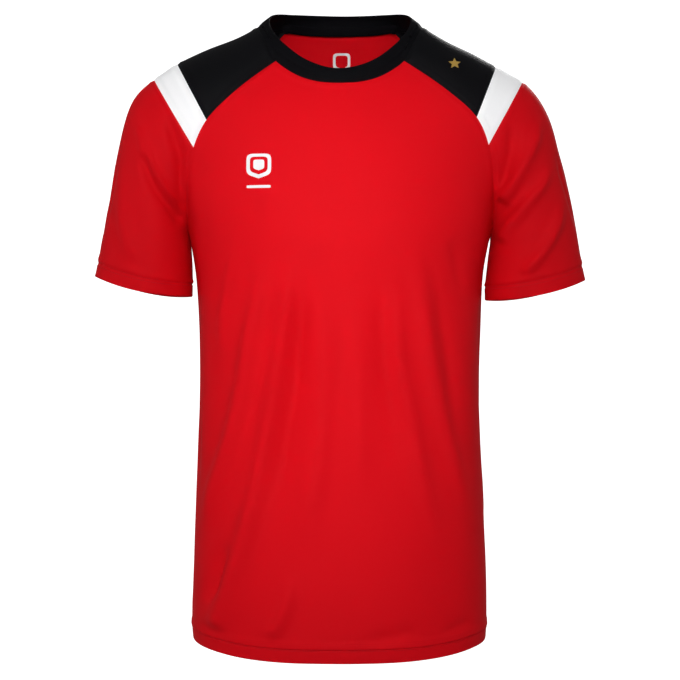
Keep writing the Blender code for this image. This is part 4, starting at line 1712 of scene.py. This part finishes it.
# ---------------------------------------------------------------- prints
@dataclass(frozen=True)
class Outline:
    """A flat closed outline round a middle, as a distance for each angle."""

    half_width: float
    half_height: float
    power: float = 2.0  # 2 is an ellipse, more is squarer
    point: float = 0.0  # how far the lower end is drawn out to a point, in half-heights
    tips: int = 0  # a star's points
    notch: float = 0.45  # a star's inner radius, as a share of its outer one
    point_power: float = 1.2  # how fast the drawn-out end narrows

    def place(self, angle: float) -> tuple[float, float]:
        """The outline's point in a direction, as sideways and up.

        Args:
            angle: The direction, in radians from the side.

        Returns:
            How far sideways and how far up it is.
        """
        if self.tips:
            turn = (angle - math.pi / 2) * self.tips / (2 * math.pi)
            off = abs(turn - round(turn)) * 2
            half_turn = math.pi / self.tips
            inner = self.notch
            reach = inner * math.sin(half_turn) / (
                math.sin(off * half_turn) * (1 - inner * math.cos(half_turn))
                + inner * math.sin(half_turn) * math.cos(off * half_turn)
            )
            return self.half_width * reach * math.cos(angle), self.half_height * reach * math.sin(angle)
        side = signed_power(math.cos(angle), 2 / self.power)
        up = signed_power(math.sin(angle), 2 / self.power)
        drawn = self.point * max(0.0, 1 - abs(side)) ** self.point_power if up < 0 else 0.0
        return self.half_width * side, self.half_height * (up - drawn)


class Mark(NamedTuple):
    """A shape to be pressed on: its outline, its middle, and the hole left inside it."""

    outline: Outline
    across: float
    height: float
    hole: float = 0.0  # as a share of the outline


CHEST_MARKS = [
    Mark(Outline(0.0140, 0.0120, 5.0, 0.35), -0.0910, -0.1730, hole=0.72),  # a shield's ring
    Mark(Outline(0.0062, 0.0052, 5.0, 0.35), -0.0910, -0.1730),  # the shield inside it
    Mark(Outline(0.0135, 0.0016, 8.0), -0.0910, -0.1985),  # a bar beneath
]
NECK_MARKS = [Mark(Outline(0.0105, 0.0092, 5.0, 0.35), 0.0020, -0.0330, hole=0.70)]
SHOULDER_MARKS = [Mark(Outline(0.0075, 0.0072, tips=5), 0.1310, -0.0540)]


@dataclass
class Prints:
    """Plain transfers pressed onto the cloth."""

    wardrobe: Wardrobe
    thickness: float = 0.00012
    proud: float = 0.00010
    angles: int = 96
    rings: int = 10
    pinhole: float = 0.02  # how near its middle a solid mark's rings start

    def press(
        self, name: str, target: bpy.types.Object, marks: list[Mark], start_y: float, finish: str
    ) -> bpy.types.Object:
        """Lays some marks on a piece of cloth.

        Args:
            name: The new piece's name.
            target: The piece of cloth.
            marks: The shapes, as seen from the front.
            start_y: Where the view starts, on its way towards the back.
            finish: The finish.

        Returns:
            The new piece.
        """
        places = [vertex.co for vertex in target.data.vertices]
        tree = BVHTree.FromPolygons(places, [face.vertices for face in target.data.polygons])
        forward = Vector((0.0, 1.0, 0.0))
        points, faces = [], []
        for mark in marks:
            first = len(points)
            shares = [mark.hole + (1 - mark.hole) * ring / self.rings for ring in range(self.rings + 1)]
            if not mark.hole:
                shares[0] = self.pinhole
            for lift in (self.proud + self.thickness, self.proud - self.thickness):
                for share in shares:
                    for number in range(self.angles):
                        side, up = mark.outline.place(2 * math.pi * number / self.angles)
                        origin = Vector((mark.across + side * share, start_y, mark.height + up * share))
                        place, normal, _, _ = tree.ray_cast(origin, forward)
                        points.append(place + normal * lift)
            self.join(faces, first, len(shares), solid=not mark.hole)
        piece = mesh_object(name, np.array(points), faces)
        self.wardrobe.dress(piece, finish, finish)
        deselect_all()
        piece.select_set(True)
        bpy.context.view_layer.objects.active = piece
        bpy.ops.object.mode_set(mode="EDIT")
        bpy.ops.mesh.select_all(action="SELECT")
        bpy.ops.mesh.normals_make_consistent(inside=False)
        bpy.ops.object.mode_set(mode="OBJECT")
        deselect_all()
        return piece

    def join(self, faces: list, first: int, rings: int, solid: bool) -> None:
        """Adds the faces of one mark: its top, its underside, and the edges between them.

        Args:
            faces: The list that they are added to.
            first: The mark's first point.
            rings: How many rings of points each of its two layers has.
            solid: Whether it has no hole.
        """
        count = self.angles
        under = first + rings * count
        outer = (rings - 1) * count

        def band(low: int, high: int, number: int) -> tuple[int, int, int, int]:
            """The quad between two rings, which start at these points."""
            following = (number + 1) % count
            return low + number, low + following, high + following, high + number

        for start in range(0, outer, count):
            for number in range(count):
                faces.append(band(first + start, first + start + count, number))
                faces.append(band(under + start + count, under + start, number))
        for number in range(count):
            faces.append(band(first + outer, under + outer, number))
            if not solid:
                following = (number + 1) % count
                faces.append((first + following, first + number, under + number, under + following))
        if solid:
            faces.append(tuple(first + number for number in range(count)))
            faces.append(tuple(under + number for number in range(count - 1, -1, -1)))


# ---------------------------------------------------------------- studio
class Lamp(NamedTuple):
    """A soft rectangular light."""

    name: str
    place: tuple[float, float, float]
    aim: tuple[float, float, float]
    size: tuple[float, float]
    watts: float
    spread: float = 180.0  # degrees


LAMPS = (
    Lamp("front", (-0.40, -2.60, 0.80), (0.00, -0.10, -0.20), (0.60, 0.60), 25.0),
    Lamp("strip", (-0.03, -1.60, -0.06), (-0.01, -0.10, -0.30), (0.12, 0.70), 0.42, 25.0),
    Lamp("left", (-2.20, -0.70, 0.20), (0.00, 0.00, -0.35), (1.00, 1.20), 8.0),
    Lamp("right", (2.20, -0.70, 0.20), (0.00, 0.00, -0.35), (1.00, 1.20), 5.0),
    Lamp("rear", (0.80, 2.60, 0.90), (0.00, 0.10, -0.30), (0.80, 0.80), 36.0),
)


@dataclass
class Studio:
    """A white room, its soft lights, and the camera."""

    room_radius: float = 5.5
    floor_z: float = -1.48
    room_height: float = 6.0
    cove: float = 1.2
    camera_distance: float = 2.4
    camera_height: float = -0.370
    lens: float = 108.6
    ambient: float = 0.26

    def room(self) -> None:
        """A round floor that curves up into the wall, seen by the camera alone."""
        deselect_all()
        bpy.ops.mesh.primitive_cylinder_add(
            vertices=96,
            radius=self.room_radius,
            depth=self.room_height,
            location=(0.0, 0.0, self.floor_z + self.room_height / 2),
        )
        room = bpy.context.active_object
        room.name = "studio_room"
        bpy.ops.object.transform_apply(location=True, rotation=True, scale=True)
        bpy.ops.object.mode_set(mode="EDIT")
        bpy.ops.mesh.select_mode(type="FACE")
        bpy.ops.mesh.select_all(action="DESELECT")
        bpy.ops.object.mode_set(mode="OBJECT")
        for face in room.data.polygons:
            face.select = face.normal.z > 0.9
        bpy.ops.object.mode_set(mode="EDIT")
        bpy.ops.mesh.delete(type="FACE")
        bpy.ops.mesh.select_mode(type="EDGE")
        bpy.ops.mesh.select_all(action="DESELECT")
        bpy.ops.object.mode_set(mode="OBJECT")
        for edge in room.data.edges:
            edge.select = all(room.data.vertices[end].co.z < self.floor_z + MM for end in edge.vertices)
        bpy.ops.object.mode_set(mode="EDIT")
        bpy.ops.mesh.bevel(offset=self.cove, segments=16, affect="EDGES")
        bpy.ops.mesh.select_all(action="SELECT")
        bpy.ops.mesh.flip_normals()
        bpy.ops.object.mode_set(mode="OBJECT")
        room.data.shade_smooth()
        room.data.materials.append(self.paint())
        for rays in ("visible_diffuse", "visible_glossy", "visible_transmission", "visible_shadow"):
            setattr(room, rays, False)
        deselect_all()

    @staticmethod
    def paint() -> bpy.types.Material:
        """Bright white paint, with the faintest unevenness.

        Returns:
            The new material.
        """
        nodes = Nodes(bpy.data.materials.new("studio_white"))
        place = nodes.add("ShaderNodeTexCoord").outputs["Object"]
        cloud = nodes.add("ShaderNodeTexNoise", {"Vector": place, "Scale": 0.6, "Detail": 2.0})
        paint = Colour(1.0, 1.0, 1.0)
        white = nodes.mix(cloud.outputs["Fac"], paint.rgba(0.985), paint.rgba())
        nodes.drive("Base Color", white)
        nodes.drive("Emission Color", white)
        nodes.fix({"Roughness": 1.0, "Specular IOR Level": 0.0, "Emission Strength": 1.0})
        return nodes.material

    @staticmethod
    def hang(lamp: Lamp) -> None:
        """Puts up one light, facing its aim.

        Args:
            lamp: The light.
        """
        light = bpy.data.lights.new(lamp.name, "AREA")
        light.shape = "RECTANGLE"
        light.size, light.size_y = lamp.size
        light.energy = lamp.watts
        light.spread = math.radians(lamp.spread)
        stand = link(bpy.data.objects.new(lamp.name, light))
        stand.location = lamp.place
        direction = Vector(lamp.aim) - Vector(lamp.place)
        stand.rotation_euler = direction.to_track_quat("-Z", "Y").to_euler()
        stand.visible_camera = False

    def lights(self) -> None:
        """Lights in front, at both sides and behind, and even light from the room."""
        for lamp in LAMPS:
            self.hang(lamp)
        world = bpy.data.worlds.new("studio_air")
        world.use_nodes = True
        background = world.node_tree.nodes["Background"]
        background.inputs["Color"].default_value = (1.0, 1.0, 1.0, 1.0)
        background.inputs["Strength"].default_value = self.ambient
        bpy.context.scene.world = world

    def camera(self) -> None:
        """A level camera straight in front."""
        data = bpy.data.cameras.new("camera")
        data.lens = self.lens
        data.sensor_width = 36.0
        camera = link(bpy.data.objects.new("camera", data))
        camera.location = (0.0, -self.camera_distance, self.camera_height)
        camera.rotation_euler = (math.pi / 2, 0.0, 0.0)
        bpy.context.scene.camera = camera

    def build(self) -> None:
        """Sets the whole studio up."""
        self.room()
        self.lights()
        self.camera()
        bpy.context.scene.view_settings.view_transform = "Standard"


# ---------------------------------------------------------------- assembly
def main() -> None:
    """Builds the jersey over its frame."""
    logging.basicConfig(level=logging.INFO, format="%(message)s")
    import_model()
    wardrobe = Wardrobe()
    cloth = Cloth()
    cloth.smooth_cage()
    cloth.crease_all()
    LOG.info("cloth: %d points, %d quads", len(cloth.points), len(cloth.quads))
    panels = CutPanels(cloth, wardrobe)
    panels.build()
    NeckTape(cloth, wardrobe).build()
    stitches = StitchRow(wardrobe)
    hems = Hems(cloth, stitches)
    names = ("hem_stitches", "cuff_stitches_left", "cuff_stitches_right")
    hem, cuff_left, cuff_right = (hems.sew(name, line) for name, line in zip(names, cloth.hems))
    prints, pieces = Prints(wardrobe), panels.pieces
    in_front = -0.5
    inside = 0.0
    chest = prints.press("chest_print", pieces[Panel.FRONT], CHEST_MARKS, in_front, "white_print")
    neck = prints.press("neck_print", pieces[Panel.BACK], NECK_MARKS, inside, "white_print")
    star = prints.press("shoulder_star", pieces[Panel.YOKE_LEFT], SHOULDER_MARKS, in_front, "gold_print")
    panels.declare(
    )
    Studio().build()


if __name__ == "__main__":
    main()
